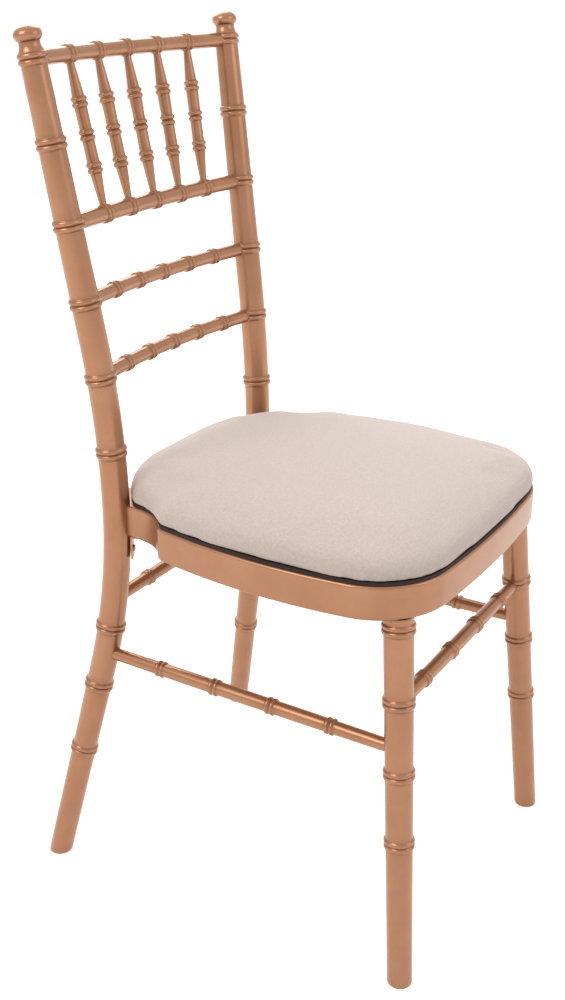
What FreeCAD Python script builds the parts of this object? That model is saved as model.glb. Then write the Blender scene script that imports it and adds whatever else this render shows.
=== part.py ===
import FreeCAD, Part
import Sketcher
import math
import os
from FreeCAD import Placement, Rotation, Vector

# Chiavari chair: a turned and steam-bent hardwood frame with a lift-off upholstered pad.
# The origin lies on the floor under the middle of the chair. The sitter faces -Y and +Z is up,
# so the sitter's left hand is on the +X side.

doc = FreeCAD.newDocument("chiavari_chair")

# Driving sizes, in millimetres and degrees.
SIZES = [
    # rear posts: upright where the seat meets them, raked back above and splayed below
    ("rear_post_spacing", 279.8),
    ("rear_post_back", 148.9),
    ("bend_height", 435.0),
    ("rake_radius", 1195.0),
    ("rake_angle", 8.84),
    ("rake_splay", 22.5),
    ("kick_radius", 773.0),
    ("kick_angle", 14.41),
    ("kick_splay", 36.6),
    ("post_radius_seat", 14.6),
    ("post_radius_mid", 13.9),
    ("post_radius_kick", 14.2),
    ("post_radius_high", 13.3),
    ("post_radius_top", 12.2),
    ("post_radius_low", 13.5),
    ("post_radius_foot", 12.9),
    ("post_ring_low", 498.0),
    ("kick_ring_high", 295.0),
    ("kick_ring_mid", 223.0),
    ("kick_ring_low", 140.0),
    # finial on each rear post
    ("finial_ball_rise", 20.9),
    ("finial_neck_radius", 10.1),
    ("finial_ball_radius", 13.4),
    ("finial_dome", 9.0),
    ("finial_cap_angle", 50.0),
    ("finial_hollow", 0.9),
    # double beads of the turned rings
    ("bead_radius", 3.2),
    ("bead_rise", 2.0),
    ("bead_pitch", 5.8),
    ("thin_bead_radius", 2.6),
    ("thin_bead_rise", 1.7),
    ("thin_bead_pitch", 5.7),
    # rails of the back
    ("crest_height", 881.0),
    ("spindle_rail_height", 729.5),
    ("ladder_upper_height", 653.5),
    ("ladder_lower_height", 577.0),
    ("crest_radius", 7.6),
    ("spindle_rail_radius", 8.1),
    ("ladder_radius", 7.3),
    ("crest_bow", 17.0),
    ("spindle_rail_bow", 9.0),
    ("ladder_bow", 13.6),
    ("crest_ring_pitch", 49.0),
    ("spindle_rail_ring_pitch", 44.0),
    ("ladder_ring_pitch", 44.8),
    # spindles between crest rail and spindle rail
    ("spindle_tip_radius", 3.7),
    ("spindle_radius", 6.5),
    ("spindle_waist_radius", 6.2),
    ("spindle_ring_share", 0.2155),
    ("spindle_tenon", 4.5),
    ("spindle_shoulder", 2.0),
    # front legs: where they meet the seat frame, and how far their feet stand out from there
    ("leg_inset_side", 41.6),
    ("leg_inset_front", 36.7),
    ("leg_splay_side", 32.3),
    ("leg_splay_front", 33.1),
    ("leg_radius_top", 14.9),
    ("leg_radius_foot", 12.9),
    ("leg_ring_first", 389.5),
    ("leg_ring_pitch", 76.0),
    ("leg_tenon_radius", 10.5),
    ("leg_tenon_length", 22.0),
    ("leg_tenon_root", 8.0),
    ("mortise_root", 10.0),
    ("foot_round", 1.5),
    # stretchers
    ("stretcher_radius", 7.5),
    ("stretcher_end_radius", 6.8),
    ("stretcher_neck", 6.0),
    ("stretcher_swell_share", 0.3),
    ("front_stretcher_height", 310.5),
    ("rear_stretcher_height", 326.5),
    ("side_stretcher_height", 263.0),
    ("front_ring_share", 0.218),
    ("side_ring_share", 0.198),
    # seat frame
    ("seat_front", 221.0),
    ("seat_half_width", 184.8),
    ("seat_widest_front", 62.5),
    ("front_bow_radius", 1150.0),
    ("side_bow_radius", 630.0),
    ("front_corner_radius", 80.0),
    ("rear_corner_radius", 12.0),
    # its necks, placed from the middle of the posts that they reach
    ("neck_curve_radius", 58.7),
    ("neck_stand_out", 1.2),
    ("neck_run", 24.3),
    ("neck_inner_run", 53.9),
    ("neck_root", 45.0),
    ("seat_bottom", 404.0),
    ("seat_frame_depth", 35.5),
    ("rim_width", 34.0),
    ("neck_width", 32.0),
    ("edge_round", 3.0),
    ("rear_rail_ahead", 10.9),
    ("rear_rail_width", 24.0),
    ("rear_rail_end", 4.4),
    ("ledge_width", 8.0),
    ("panel_thickness", 9.0),
    ("panel_drop", 1.6),
    # joints
    ("joint_depth", 10.0),
    ("glue_gap", 0.15),
    ("panel_gap", 0.5),
    ("dowel_radius", 4.0),
    ("dowel_length", 24.0),
    ("dowel_deep_share", 0.62),
    ("lower_dowel_rise", 7.5),
    ("upper_dowel_rise", 18.5),
    ("post_dowel_inset", 6.5),
    ("dowel_wall", 2.0),
    ("bracket_width", 16.0),
    ("bracket_leg", 26.0),
    ("bracket_thickness", 2.0),
    ("bracket_turn", 30.0),
    ("bracket_seating", 0.4),
    ("bracket_screw_reach", 16.0),
    ("screw_radius", 1.8),
    ("screw_head_radius", 3.6),
    ("screw_head_height", 2.0),
    ("screw_head_round", 1.2),
    ("screw_length", 18.0),
    ("panel_screw_length", 22.0),
    ("panel_screw_across", 70.0),
    ("panel_screw_front", 110.5),
    ("panel_screw_rear", 26.5),
    # pad
    ("pad_inset", 2.0),
    ("pad_seat_gap", 0.3),
    ("board_thickness", 3.2),
    ("cushion_height", 42.0),
    ("cushion_middle", 30.0),
    ("pad_post_gap", 2.4),
    ("pad_corner_radius", 20.0),
    ("pad_rear_radius", 138.0),
    ("pad_rear_reach", 23.1),
    ("strip_thickness", 0.7),
    ("strip_length", 60.0),
    ("strip_width", 20.0),
    ("strip_across", 79.5),
    ("strip_front", 99.5),
    ("strip_rear", 44.0),
]

sheet = doc.addObject("Spreadsheet::Sheet", "Sizes")
for row, (alias, value) in enumerate(SIZES, start=1):
    sheet.set("A%d" % row, alias)
    sheet.set("B%d" % row, str(value))
    sheet.setAlias("B%d" % row, alias)
worked = doc.addObject("Spreadsheet::Sheet", "Worked")
doc.recompute()
size = {alias: float(sheet.get(alias)) for alias, _ in SIZES}
worked_value = {}


def work_out(alias, value):
    """Keep a worked-out length in the second sheet and give the reference to its cell."""
    row = len(worked_value) + 1
    worked.set("A%d" % row, alias)
    worked.set("B%d" % row, "%.6f" % value)
    worked.setAlias("B%d" % row, alias)
    worked_value[alias] = value
    return "Worked." + alias


def number(reference):
    """The number behind a reference such as Sizes.seat_bottom."""
    table, alias = reference.split(".")
    return size[alias] if table == "Sizes" else worked_value[alias]


# Frame lines: the centre lines that every turned piece follows.

SIDES = {"left": 1.0, "right": -1.0}
UP = Vector(0, 0, 1)


class PostLine:
    """Centre line of a rear post: upright at the seat, an arc and a straight run above and below."""

    def __init__(self, side):
        self.base = Vector(side * size["rear_post_spacing"] / 2, size["rear_post_back"], size["bend_height"])
        self.above = self.run(side, "rake", 1.0)
        self.below = self.run(side, "kick", -1.0)

    def run(self, side, name, sense):
        """One half of the line: outward direction, radius, angle and where the arc ends."""
        splay = math.radians(size[name + "_splay"])
        angle = math.radians(size[name + "_angle"])
        radius = size[name + "_radius"]
        outward = Vector(side * math.sin(splay), math.cos(splay), 0)
        straight = outward * math.sin(angle) + UP * (sense * math.cos(angle))
        end = self.base + outward * (radius * (1 - math.cos(angle))) + UP * (sense * radius * math.sin(angle))
        return {
            "outward": outward,
            "radius": radius,
            "angle": angle,
            "end": end,
            "straight": straight,
            "sense": sense,
        }

    def at(self, height):
        """Point on the line and its upward unit direction at a height above the floor."""
        half = self.above if height >= self.base.z else self.below
        travel = abs(height - self.base.z)
        arc_travel = half["radius"] * math.sin(half["angle"])
        if travel <= arc_travel:
            turn = math.asin(travel / half["radius"])
            offset = half["radius"] * (1 - math.cos(turn))
            point = self.base + half["outward"] * offset + UP * (half["sense"] * travel)
            along = half["outward"] * (half["sense"] * math.sin(turn)) + UP * math.cos(turn)
            return point, along
        rest = (travel - arc_travel) / math.cos(half["angle"])
        return half["end"] + half["straight"] * rest, half["straight"] * half["sense"]


class LegLine:
    """Centre line of a front leg, straight from the floor to the seat frame."""

    def __init__(self, side):
        across = size["seat_half_width"] - size["leg_inset_side"]
        ahead = size["seat_front"] - size["leg_inset_front"]
        top = Vector(side * across, -ahead, size["seat_bottom"])
        self.foot = Vector(side * (across + size["leg_splay_side"]), -ahead - size["leg_splay_front"], 0)
        self.length = (top - self.foot).Length
        self.along = (top - self.foot).normalize()

    def at(self, height):
        return self.foot + self.along * (height / self.along.z), self.along


post_lines = {name: PostLine(side) for name, side in SIDES.items()}
leg_lines = {name: LegLine(side) for name, side in SIDES.items()}


def standing(base, along):
    """Placement that stands a piece made along +Z on base, pointing along the given direction."""
    return Placement(base, Rotation(UP, along))


# Turned pieces.

def origin_plane(body, role):
    for feature in body.Origin.OriginFeatures:
        if feature.Role == role:
            return feature
    raise ValueError(role)


def new_sketch(body, name, role):
    sketch = body.newObject("Sketcher::SketchObject", name)
    sketch.AttachmentSupport = [(origin_plane(body, role), "")]
    sketch.MapMode = "FlatFace"
    return sketch


def hold(sketch, geometry, point, across, up):
    """Fix a sketch point at two referenced distances from the origin; None puts it on the axis."""
    for kind, axis, reference in (("DistanceX", -2, across), ("DistanceY", -1, up)):
        if reference is None:
            sketch.addConstraint(Sketcher.Constraint("PointOnObject", geometry, point, axis))
            continue
        place = sketch.addConstraint(Sketcher.Constraint(kind, -1, 1, geometry, point, number(reference)))
        sketch.setExpression("Constraints[%d]" % place, reference)


def turned_body(name, outline, beads):
    """A piece turned on a lathe about +Z: its half outline, then round beads, each revolved."""
    body = doc.addObject("PartDesign::Body", name)
    profile = new_sketch(body, name + "_profile", "XZ_Plane")
    points = [Vector(number(r) if r else 0, number(z) if z else 0, 0) for r, z in outline]
    count = len(points)
    for index in range(count):
        profile.addGeometry(Part.LineSegment(points[index], points[(index + 1) % count]), False)
    for index in range(count):
        profile.addConstraint(Sketcher.Constraint("Coincident", index, 2, (index + 1) % count, 1))
    for index, (radius, height) in enumerate(outline):
        hold(profile, index, 1, radius, height)
    turn_up(body, profile, name + "_turning")
    if beads:
        rounds = new_sketch(body, name + "_bead_profile", "XZ_Plane")
        for index, (radius, height, round_radius) in enumerate(beads):
            centre = Vector(number(radius), number(height), 0)
            rounds.addGeometry(Part.Circle(centre, Vector(0, 0, 1), number(round_radius)), False)
            hold(rounds, index, 3, radius, height)
            place = rounds.addConstraint(Sketcher.Constraint("Radius", index, number(round_radius)))
            rounds.setExpression("Constraints[%d]" % place, round_radius)
        turn_up(body, rounds, name + "_beads")
    return body


def turn_up(body, sketch, name):
    turning = body.newObject("PartDesign::Revolution", name)
    turning.Profile = sketch
    turning.ReferenceAxis = (sketch, ["V_Axis"])
    turning.Angle = 360.0
    sketch.Visibility = False
    body.Tip = turning


def radius_between(stations, height):
    """Radius at a height, on straight tapers between (height, radius) stations."""
    for (low, low_radius), (high, high_radius) in zip(stations, stations[1:]):
        if height <= high:
            share = (height - low) / (high - low)
            return low_radius + (high_radius - low_radius) * share
    return stations[-1][1]


def bead_pair(name, stations, height, kind=""):
    """Two beads either side of a ring's height, sunk so that they rise a set amount."""
    pair = []
    for index, sense in enumerate((-1, 1)):
        place = height + sense * size[kind + "bead_pitch"] / 2
        radius = radius_between(stations, place) + size[kind + "bead_rise"] - size[kind + "bead_radius"]
        tag = "%s_bead_%d" % (name, index)
        radius_cell = work_out(tag + "_radius", radius)
        pair.append((radius_cell, work_out(tag + "_height", place), "Sizes." + kind + "bead_radius"))
    return pair


def turned_stick(name, stations, ring_heights, kind=""):
    """A straight turned piece from its (height, radius) stations and its rings."""
    outline = [(None, None)]
    for index, (height, radius) in enumerate(stations):
        height_cell = work_out("%s_height_%d" % (name, index), height) if index else None
        outline.append((work_out("%s_radius_%d" % (name, index), radius), height_cell))
    outline.append((None, height_cell))
    beads = []
    for index, height in enumerate(ring_heights):
        beads += bead_pair("%s_ring_%d" % (name, index), stations, height, kind)
    doc.recompute()
    return turned_body(name, outline, beads)


# Bent pieces: a turned stick bent in steam, so its rings stand square to a curved line.

def ring(centre, along, radius, kind=""):
    """The two beads of one ring, as rounds about the piece's line."""
    shapes = []
    ring_radius = radius + size[kind + "bead_rise"] - size[kind + "bead_radius"]
    for sense in (-1, 1):
        place = centre + along * (sense * size[kind + "bead_pitch"] / 2)
        shapes.append(Part.makeTorus(ring_radius, size[kind + "bead_radius"], place, along))
    return shapes


def taper(start, end, start_radius, end_radius):
    """A round stick between two points, tapering from one radius to the other."""
    along = end - start
    if abs(start_radius - end_radius) < 1e-6:
        return Part.makeCylinder(start_radius, along.Length, start, along)
    return Part.makeCone(start_radius, end_radius, along.Length, start, along)


def bent_run(line, half, radius):
    """The arc of a post, a disc at the upright point swung round the bend's centre."""
    disc = Part.Face(Part.Wire(Part.makeCircle(radius, line.base, UP)))
    centre = line.base + half["outward"] * half["radius"]
    axis = UP.cross(half["outward"]) * half["sense"]
    return disc.revolve(centre, axis, math.degrees(half["angle"]))


def finial(line):
    """Neck, round shoulder and domed cap on top of a post, turned about the post's own line."""
    seat, along = line.at(size["crest_height"])
    neck = size["finial_neck_radius"]
    ball = size["finial_ball_radius"]
    middle = size["finial_ball_rise"]
    lean = math.radians(size["finial_cap_angle"])
    spread = (1 - math.sin(lean)) / math.cos(lean)
    round_radius = (size["finial_dome"] - spread * ball) / (1 - spread)
    round_centre = Vector(ball - round_radius, 0, middle)
    shoulder = round_centre + Vector(math.cos(lean), 0, math.sin(lean)) * round_radius
    tuck = math.sqrt(round_radius ** 2 - (neck - round_centre.x) ** 2)
    crease = Vector(neck, 0, middle - tuck)
    cap_radius = shoulder.x / math.cos(lean)
    cap_centre = Vector(0, 0, shoulder.z - shoulder.x * math.tan(lean))
    half_lean = (math.pi / 2 + lean) / 2
    cap_middle = cap_centre + Vector(math.cos(half_lean), 0, math.sin(half_lean)) * cap_radius
    tip = cap_centre + UP * cap_radius
    start = Vector(0, 0, size["bead_pitch"] / 2)
    neck_foot = Vector(size["post_radius_top"], 0, start.z + size["bead_radius"])
    throat = Vector((neck + neck_foot.x) / 2, 0, (neck_foot.z + crease.z) / 2)
    across = (crease - neck_foot).normalize()
    hollow = throat - Vector(across.z, 0, -across.x) * size["finial_hollow"]
    edges = [
        Part.makeLine(start, Vector(neck_foot.x, 0, start.z)),
        Part.makeLine(Vector(neck_foot.x, 0, start.z), neck_foot),
        Part.Arc(neck_foot, hollow, crease).toShape(),
        Part.Arc(crease, round_centre + Vector(round_radius, 0, 0), shoulder).toShape(),
        Part.Arc(shoulder, cap_middle, tip).toShape(),
        Part.makeLine(tip, start),
    ]
    turned = Part.Face(Part.Wire(edges)).revolve(Vector(0, 0, 0), UP, 360)
    turned.Placement = standing(seat, along)
    return turned


def post_rings():
    """Heights of a post's nine rings, from the top down."""
    crest = size["crest_height"]
    spindle_rail = size["spindle_rail_height"]
    upper = [crest, (crest + spindle_rail) / 2, spindle_rail, size["ladder_upper_height"]]
    upper += [size["ladder_lower_height"], size["post_ring_low"]]
    return upper + [size["kick_ring_high"], size["kick_ring_mid"], size["kick_ring_low"]]


POST_RINGS = post_rings()
POST_STATIONS = [
    (-size["post_radius_foot"], size["post_radius_foot"]),
    (size["kick_ring_low"], size["post_radius_low"]),
    (size["kick_ring_mid"], size["post_radius_kick"]),
    (size["kick_ring_high"], size["post_radius_seat"]),
    (size["ladder_upper_height"], size["post_radius_seat"]),
    (size["spindle_rail_height"], size["post_radius_mid"]),
    (POST_RINGS[1], size["post_radius_high"]),
    (size["crest_height"], size["post_radius_top"]),
]


def post_blank(name):
    """A rear post before its joints are bored."""
    line = post_lines[name]
    seat_radius = size["post_radius_seat"]
    shapes = [bent_run(line, line.above, seat_radius), bent_run(line, line.below, seat_radius)]
    knots = [line.above["end"]]
    radii = [seat_radius]
    heights = [size["ladder_upper_height"], size["spindle_rail_height"], POST_RINGS[1], size["crest_height"]]
    for height in heights:
        knots.append(line.at(height)[0])
        radii.append(radius_between(POST_STATIONS, height))
    crest, along = line.at(size["crest_height"])
    knots.append(crest + along * size["bead_radius"])
    radii.append(size["post_radius_top"])
    for index in range(len(knots) - 1):
        shapes.append(taper(knots[index], knots[index + 1], radii[index], radii[index + 1]))
    shapes.append(finial(line))
    knots = [line.below["end"]]
    radii = [seat_radius]
    for height in (size["kick_ring_mid"], size["kick_ring_low"], -size["post_radius_foot"]):
        knots.append(line.at(height)[0])
        radii.append(radius_between(POST_STATIONS, height))
    for index in range(len(knots) - 1):
        shapes.append(taper(knots[index], knots[index + 1], radii[index], radii[index + 1]))
    for height in POST_RINGS:
        centre, along = line.at(height)
        shapes += ring(centre, along, radius_between(POST_STATIONS, height))
    blank = shapes[0].multiFuse(shapes[1:]).removeSplitter()
    return flat_foot(blank)


ROOM = 2000.0


def flat_foot(shape):
    """Cut a leaning leg level with the floor and round its foot's edge."""
    below_floor = Part.makeBox(ROOM, ROOM, ROOM, Vector(-ROOM / 2, -ROOM / 2, -ROOM))
    cut = shape.cut(below_floor)
    edges = [edge for edge in cut.Edges if edge.BoundBox.ZMax < 0.001]
    return cut.makeFillet(size["foot_round"], edges)


class Rail:
    """A rail between the rear posts, bowed backwards on one arc at a steady height."""

    def __init__(self, height, radius, bow, ring_pitch):
        self.radius = radius
        left = post_lines["left"].at(height)[0]
        self.half_span = left.x
        self.curve = (left.x ** 2 + bow ** 2) / (2 * bow)
        self.centre = Vector(0, left.y + bow - self.curve, height)
        self.ring_places = [step * ring_pitch for step in (-2, -1, 0, 1, 2)]
        post_radius = radius_between(POST_STATIONS, height)
        self.reach = self.half_span - post_radius + size["joint_depth"]

    def at(self, across):
        """Point on the rail's line at a distance left of the middle, and its direction there."""
        turn = math.asin(across / self.curve)
        point = self.centre + Vector(math.sin(turn), math.cos(turn), 0) * self.curve
        return point, Vector(math.cos(turn), -math.sin(turn), 0)

    def rod(self, radius, reach):
        """The plain bent rod, a disc at one end swung round to the other."""
        turn = math.asin(reach / self.curve)
        start, along = self.at(-reach)
        disc = Part.Face(Part.Wire(Part.makeCircle(radius, start, along)))
        return disc.revolve(self.centre, Vector(0, 0, -1), math.degrees(2 * turn))

    def shape(self):
        shapes = []
        for across in self.ring_places:
            place, along = self.at(across)
            shapes += ring(place, along, self.radius, "thin_")
        return self.rod(self.radius, self.reach).multiFuse(shapes).removeSplitter()

    def socket(self):
        return self.rod(self.radius + size["glue_gap"], self.reach + size["panel_gap"])


RAILS = {
    "crest_rail": Rail(
        size["crest_height"], size["crest_radius"], size["crest_bow"], size["crest_ring_pitch"]
    ),
    "spindle_rail": Rail(
        size["spindle_rail_height"],
        size["spindle_rail_radius"],
        size["spindle_rail_bow"],
        size["spindle_rail_ring_pitch"],
    ),
    "ladder_rail_upper": Rail(
        size["ladder_upper_height"], size["ladder_radius"], size["ladder_bow"], size["ladder_ring_pitch"]
    ),
    "ladder_rail_lower": Rail(
        size["ladder_lower_height"], size["ladder_radius"], size["ladder_bow"], size["ladder_ring_pitch"]
    ),
}


# Straight rods that join two uprights: stretchers and spindles.

class Rod:
    """A straight turned rod between two points on the lines of the pieces it joins."""

    def __init__(self, start, end, start_inset, end_inset, tip_radius):
        self.along = (end - start).normalize()
        self.start = start + self.along * start_inset
        self.end = end - self.along * end_inset
        self.length = (self.end - self.start).Length
        self.tip_radius = tip_radius


def stretcher(start, end, start_radius, end_radius):
    depth = size["joint_depth"]
    return Rod(start, end, start_radius - depth, end_radius - depth, size["stretcher_end_radius"])


def leg_radius(height):
    share = height / size["seat_bottom"]
    return size["leg_radius_foot"] + (size["leg_radius_top"] - size["leg_radius_foot"]) * share


def make_stretchers():
    rods = {}
    height = size["side_stretcher_height"]
    for name in SIDES:
        post = post_lines[name].at(height)[0]
        leg = leg_lines[name].at(height)[0]
        post_radius = radius_between(POST_STATIONS, height)
        rods["side_stretcher_" + name] = stretcher(post, leg, post_radius, leg_radius(height))
    height = size["front_stretcher_height"]
    ends = [leg_lines[name].at(height)[0] for name in SIDES]
    rods["front_stretcher"] = stretcher(ends[0], ends[1], leg_radius(height), leg_radius(height))
    height = size["rear_stretcher_height"]
    ends = [post_lines[name].at(height)[0] for name in SIDES]
    radius = radius_between(POST_STATIONS, height)
    rods["rear_stretcher"] = stretcher(ends[0], ends[1], radius, radius)
    return rods


STRETCHERS = make_stretchers()


def make_spindles():
    rods = {}
    crest = RAILS["crest_rail"]
    lower = RAILS["spindle_rail"]
    for index in range(len(crest.ring_places)):
        top = crest.at(crest.ring_places[index])[0]
        foot = lower.at(lower.ring_places[index])[0]
        foot_inset = lower.radius - size["spindle_tenon"]
        top_inset = crest.radius - size["spindle_tenon"]
        rods["spindle_%d" % (index + 1)] = Rod(foot, top, foot_inset, top_inset, size["spindle_tip_radius"])
    return rods


SPINDLES = make_spindles()


def rod_stations(rod, middle_radius, neck):
    """Even ends that fit their sockets, then a swelling towards the middle of the rod."""
    swell = rod.length * size["stretcher_swell_share"]
    return [
        (0.0, rod.tip_radius),
        (neck, rod.tip_radius),
        (swell, middle_radius),
        (rod.length - swell, middle_radius),
        (rod.length - neck, rod.tip_radius),
        (rod.length, rod.tip_radius),
    ]


def add_stretcher(name, rod, ring_share):
    middle = rod.length / 2
    places = [middle + rod.length * ring_share * step for step in (-1.5, -0.5, 0.5, 1.5)]
    neck = size["joint_depth"] + size["stretcher_neck"]
    body = turned_stick(name, rod_stations(rod, size["stretcher_radius"], neck), places, "thin_")
    body.Placement = standing(rod.start, rod.along)
    return body


def add_spindle(name, rod):
    """A spindle: slim tips, widest at its outer rings, three rings in all."""
    middle = rod.length / 2
    pitch = rod.length * size["spindle_ring_share"]
    tip = rod.tip_radius
    full = size["spindle_radius"]
    tip_run = size["spindle_tenon"] + size["spindle_shoulder"]
    stations = [
        (0.0, tip),
        (tip_run, tip),
        (middle - pitch, full),
        (middle, size["spindle_waist_radius"]),
        (middle + pitch, full),
        (rod.length - tip_run, tip),
        (rod.length, tip),
    ]
    body = turned_stick(name, stations, [middle - pitch, middle, middle + pitch], "thin_")
    body.Placement = standing(rod.start, rod.along)
    return body


# Building blocks for booleans.

def shaped(name, shape):
    feature = doc.addObject("Part::Feature", name)
    feature.Shape = shape
    return feature


def cylinder(name, radius, length, base, along):
    """A cylinder whose radius and length follow the sheets."""
    feature = doc.addObject("Part::Cylinder", name)
    feature.setExpression("Radius", radius)
    feature.setExpression("Height", length)
    feature.Placement = standing(base, along)
    return feature


def fused(name, parts):
    feature = doc.addObject("Part::MultiFuse", name)
    feature.Shapes = parts
    return feature


def gathered(name, parts):
    """Like pieces kept as separate solids of one sub-part."""
    feature = doc.addObject("Part::Compound", name)
    feature.Links = parts
    return feature


def cut_from(name, base, tools):
    """The finished piece: its blank less every bore and cope in it."""
    feature = doc.addObject("Part::Cut", name)
    feature.Base = base
    feature.Tool = tools[0] if len(tools) == 1 else fused(name + "_bores", tools)
    return feature


def rod_bore(name, rod, tip_size):
    """The bore that both ends of a rod sit in, a little longer and wider than the rod."""
    extra = size["panel_gap"]
    length = work_out(name + "_length", rod.length + 2 * extra)
    radius = "Sizes.%s + Sizes.glue_gap" % tip_size
    return cylinder(name, radius, length, rod.start - rod.along * extra, rod.along)


finished = {}


def finish(name, feature):
    feature.Label = name
    finished[name] = feature


# Joint hardware of the seat.

class Dowel:
    """A beech dowel centred on a joint face."""

    def __init__(self, name, face, along, share):
        self.name = name
        self.along = along
        self.start = face - along * (size["dowel_length"] * share)

    def pin(self):
        return cylinder(self.name, "Sizes.dowel_radius", "Sizes.dowel_length", self.start, self.along)

    def bore(self):
        base = self.start - self.along * size["panel_gap"]
        length = "Sizes.dowel_length + 2 * Sizes.panel_gap"
        return cylinder(self.name + "_bore", "Sizes.dowel_radius + Sizes.glue_gap", length, base, self.along)


POST_X = size["rear_post_spacing"] / 2
POST_Y = size["rear_post_back"]
NECK_OUTER = POST_X + size["neck_stand_out"]
NECK_INNER = NECK_OUTER - size["neck_width"]
RAIL_FRONT = POST_Y - size["rear_rail_ahead"]
LEDGE_BACK = RAIL_FRONT + size["ledge_width"]
LOW_DOWEL = size["seat_bottom"] + size["lower_dowel_rise"]
HIGH_DOWEL = size["seat_bottom"] + size["upper_dowel_rise"]
BACK = Vector(0, 1, 0)


def make_dowels():
    dowels = {}
    for name, side in SIDES.items():
        neck_x = NECK_INNER + size["dowel_radius"] + size["dowel_wall"]
        rail_face = Vector(side * neck_x, RAIL_FRONT, LOW_DOWEL)
        post_x = POST_X - size["post_dowel_inset"]
        post_face = Vector(side * post_x, POST_Y - size["post_radius_seat"], LOW_DOWEL)
        rail_end = Vector(side * (POST_X - size["post_radius_seat"]), POST_Y, HIGH_DOWEL)
        joints = [
            ("neck_rail_dowel_", rail_face, BACK, 0.5),
            ("neck_post_dowel_", post_face, BACK, 0.5),
            ("rail_post_dowel_", rail_end, Vector(side, 0, 0), size["dowel_deep_share"]),
        ]
        for kind, face, along, share in joints:
            dowels[kind + name] = Dowel(kind + name, face, along, share)
    return dowels


DOWELS = make_dowels()
dowel_bores = {name: dowel.bore() for name, dowel in DOWELS.items()}
finish("seat_dowels", gathered("seat_dowels", [dowel.pin() for dowel in DOWELS.values()]))


def pan_screw(length, grow):
    """A round-headed screw along +Z, its head below zero; grow widens it into its own bore."""
    shank = Part.makeCylinder(size["screw_radius"] + grow, length + grow, Vector(0, 0, 0), UP)
    head_radius = size["screw_head_radius"] + grow
    head_height = size["screw_head_height"]
    head = Part.makeCylinder(head_radius, head_height, Vector(0, 0, -head_height), UP)
    rim = [edge for edge in head.Edges if edge.BoundBox.ZMax < -head_height / 2]
    return head.makeFillet(size["screw_head_round"], rim).fuse(shank)


def flat_screw(length, grow):
    """A countersunk screw along +Z with its flat head at zero."""
    head_radius = size["screw_head_radius"] + grow
    shank_radius = size["screw_radius"] + grow
    head = Part.makeCone(head_radius, shank_radius, head_radius - shank_radius, Vector(0, 0, 0), UP)
    return head.fuse(Part.makeCylinder(shank_radius, length + grow, Vector(0, 0, 0), UP))


def placed(shape, base, along):
    copy = shape.copy()
    copy.Placement = standing(base, along)
    return copy


# L-brackets between each neck of the seat frame and its post, turned towards the middle of the seat.

def bracket_place(side):
    """Where a bracket's corner seats on the post's round, and its turn about the vertical."""
    turn = math.radians(size["bracket_turn"])
    inward = Vector(-side * math.sin(turn), -math.cos(turn), 0)
    post = Vector(side * POST_X, POST_Y, size["seat_bottom"])
    corner = post + inward * (size["post_radius_seat"] - size["bracket_seating"])
    return Placement(corner, Rotation(BACK, inward * -1))


def add_bracket(name, side):
    body = doc.addObject("PartDesign::Body", name)
    sketch = new_sketch(body, name + "_profile", "YZ_Plane")
    leg = size["bracket_leg"]
    thick = size["bracket_thickness"]
    corners = [(0, 0), (-leg, 0), (-leg, -thick), (-thick, -thick), (-thick, -leg), (0, -leg)]
    points = [Vector(y, z, 0) for y, z in corners]
    count = len(points)
    for index in range(count):
        sketch.addGeometry(Part.LineSegment(points[index], points[(index + 1) % count]), False)
    for index in range(count):
        sketch.addConstraint(Sketcher.Constraint("Coincident", index, 2, (index + 1) % count, 1))
        sketch.addConstraint(Sketcher.Constraint("Horizontal" if index % 2 == 0 else "Vertical", index))
    sketch.addConstraint(Sketcher.Constraint("Coincident", 0, 1, -1, 1))
    lengths = [(0, "Sizes.bracket_leg"), (1, "Sizes.bracket_thickness"), (4, "Sizes.bracket_thickness")]
    lengths.append((5, "Sizes.bracket_leg"))
    for index, reference in lengths:
        place = sketch.addConstraint(Sketcher.Constraint("Distance", index, number(reference)))
        sketch.setExpression("Constraints[%d]" % place, reference)
    plate = body.newObject("PartDesign::Pad", name + "_plate")
    plate.Profile = sketch
    plate.setExpression("Length", "Sizes.bracket_width")
    plate.Midplane = True
    sketch.Visibility = False
    body.Tip = plate
    body.Placement = bracket_place(side)
    return body


def bracket_screw_places(side):
    """Where each screw's head seats, and the way that the screw points."""
    thick = size["bracket_thickness"]
    reach = size["bracket_screw_reach"]
    place = bracket_place(side)
    into_post = place.multVec(Vector(0, -thick, -reach))
    into_neck = place.multVec(Vector(0, -reach, -thick))
    return [(into_post, place.Rotation.multVec(BACK)), (into_neck, UP)]


bracket_screws = []
bracket_bores = {}
for name, side in SIDES.items():
    blank = add_bracket("bracket_plate_" + name, side)
    bracket_bores[name] = []
    for index, (base, along) in enumerate(bracket_screw_places(side)):
        tag = "%s_%d" % (name, index)
        screw = pan_screw(size["screw_length"], 0.0)
        bracket_screws.append(shaped("bracket_screw_" + tag, placed(screw, base, along)))
        bore_radius = size["screw_radius"] + size["glue_gap"]
        bore = Part.makeCylinder(bore_radius, size["screw_length"] + size["panel_gap"])
        bracket_bores[name].append(shaped("bracket_screw_bore_" + tag, placed(bore, base, along)))
    finish("bracket_" + name, cut_from("bracket_" + name, blank, bracket_bores[name]))
finish("bracket_screws", gathered("bracket_screws", bracket_screws))


# Stretchers, rails and spindles.

stretcher_bores = {}
for name, rod in STRETCHERS.items():
    share = size["front_ring_share"] if name == "front_stretcher" else size["side_ring_share"]
    finish(name, add_stretcher(name, rod, share))
    stretcher_bores[name] = rod_bore(name + "_bore", rod, "stretcher_end_radius")

spindle_bores = []
for name, rod in SPINDLES.items():
    finish(name, add_spindle(name, rod))
    spindle_bores.append(rod_bore(name + "_bore", rod, "spindle_tip_radius"))

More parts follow.
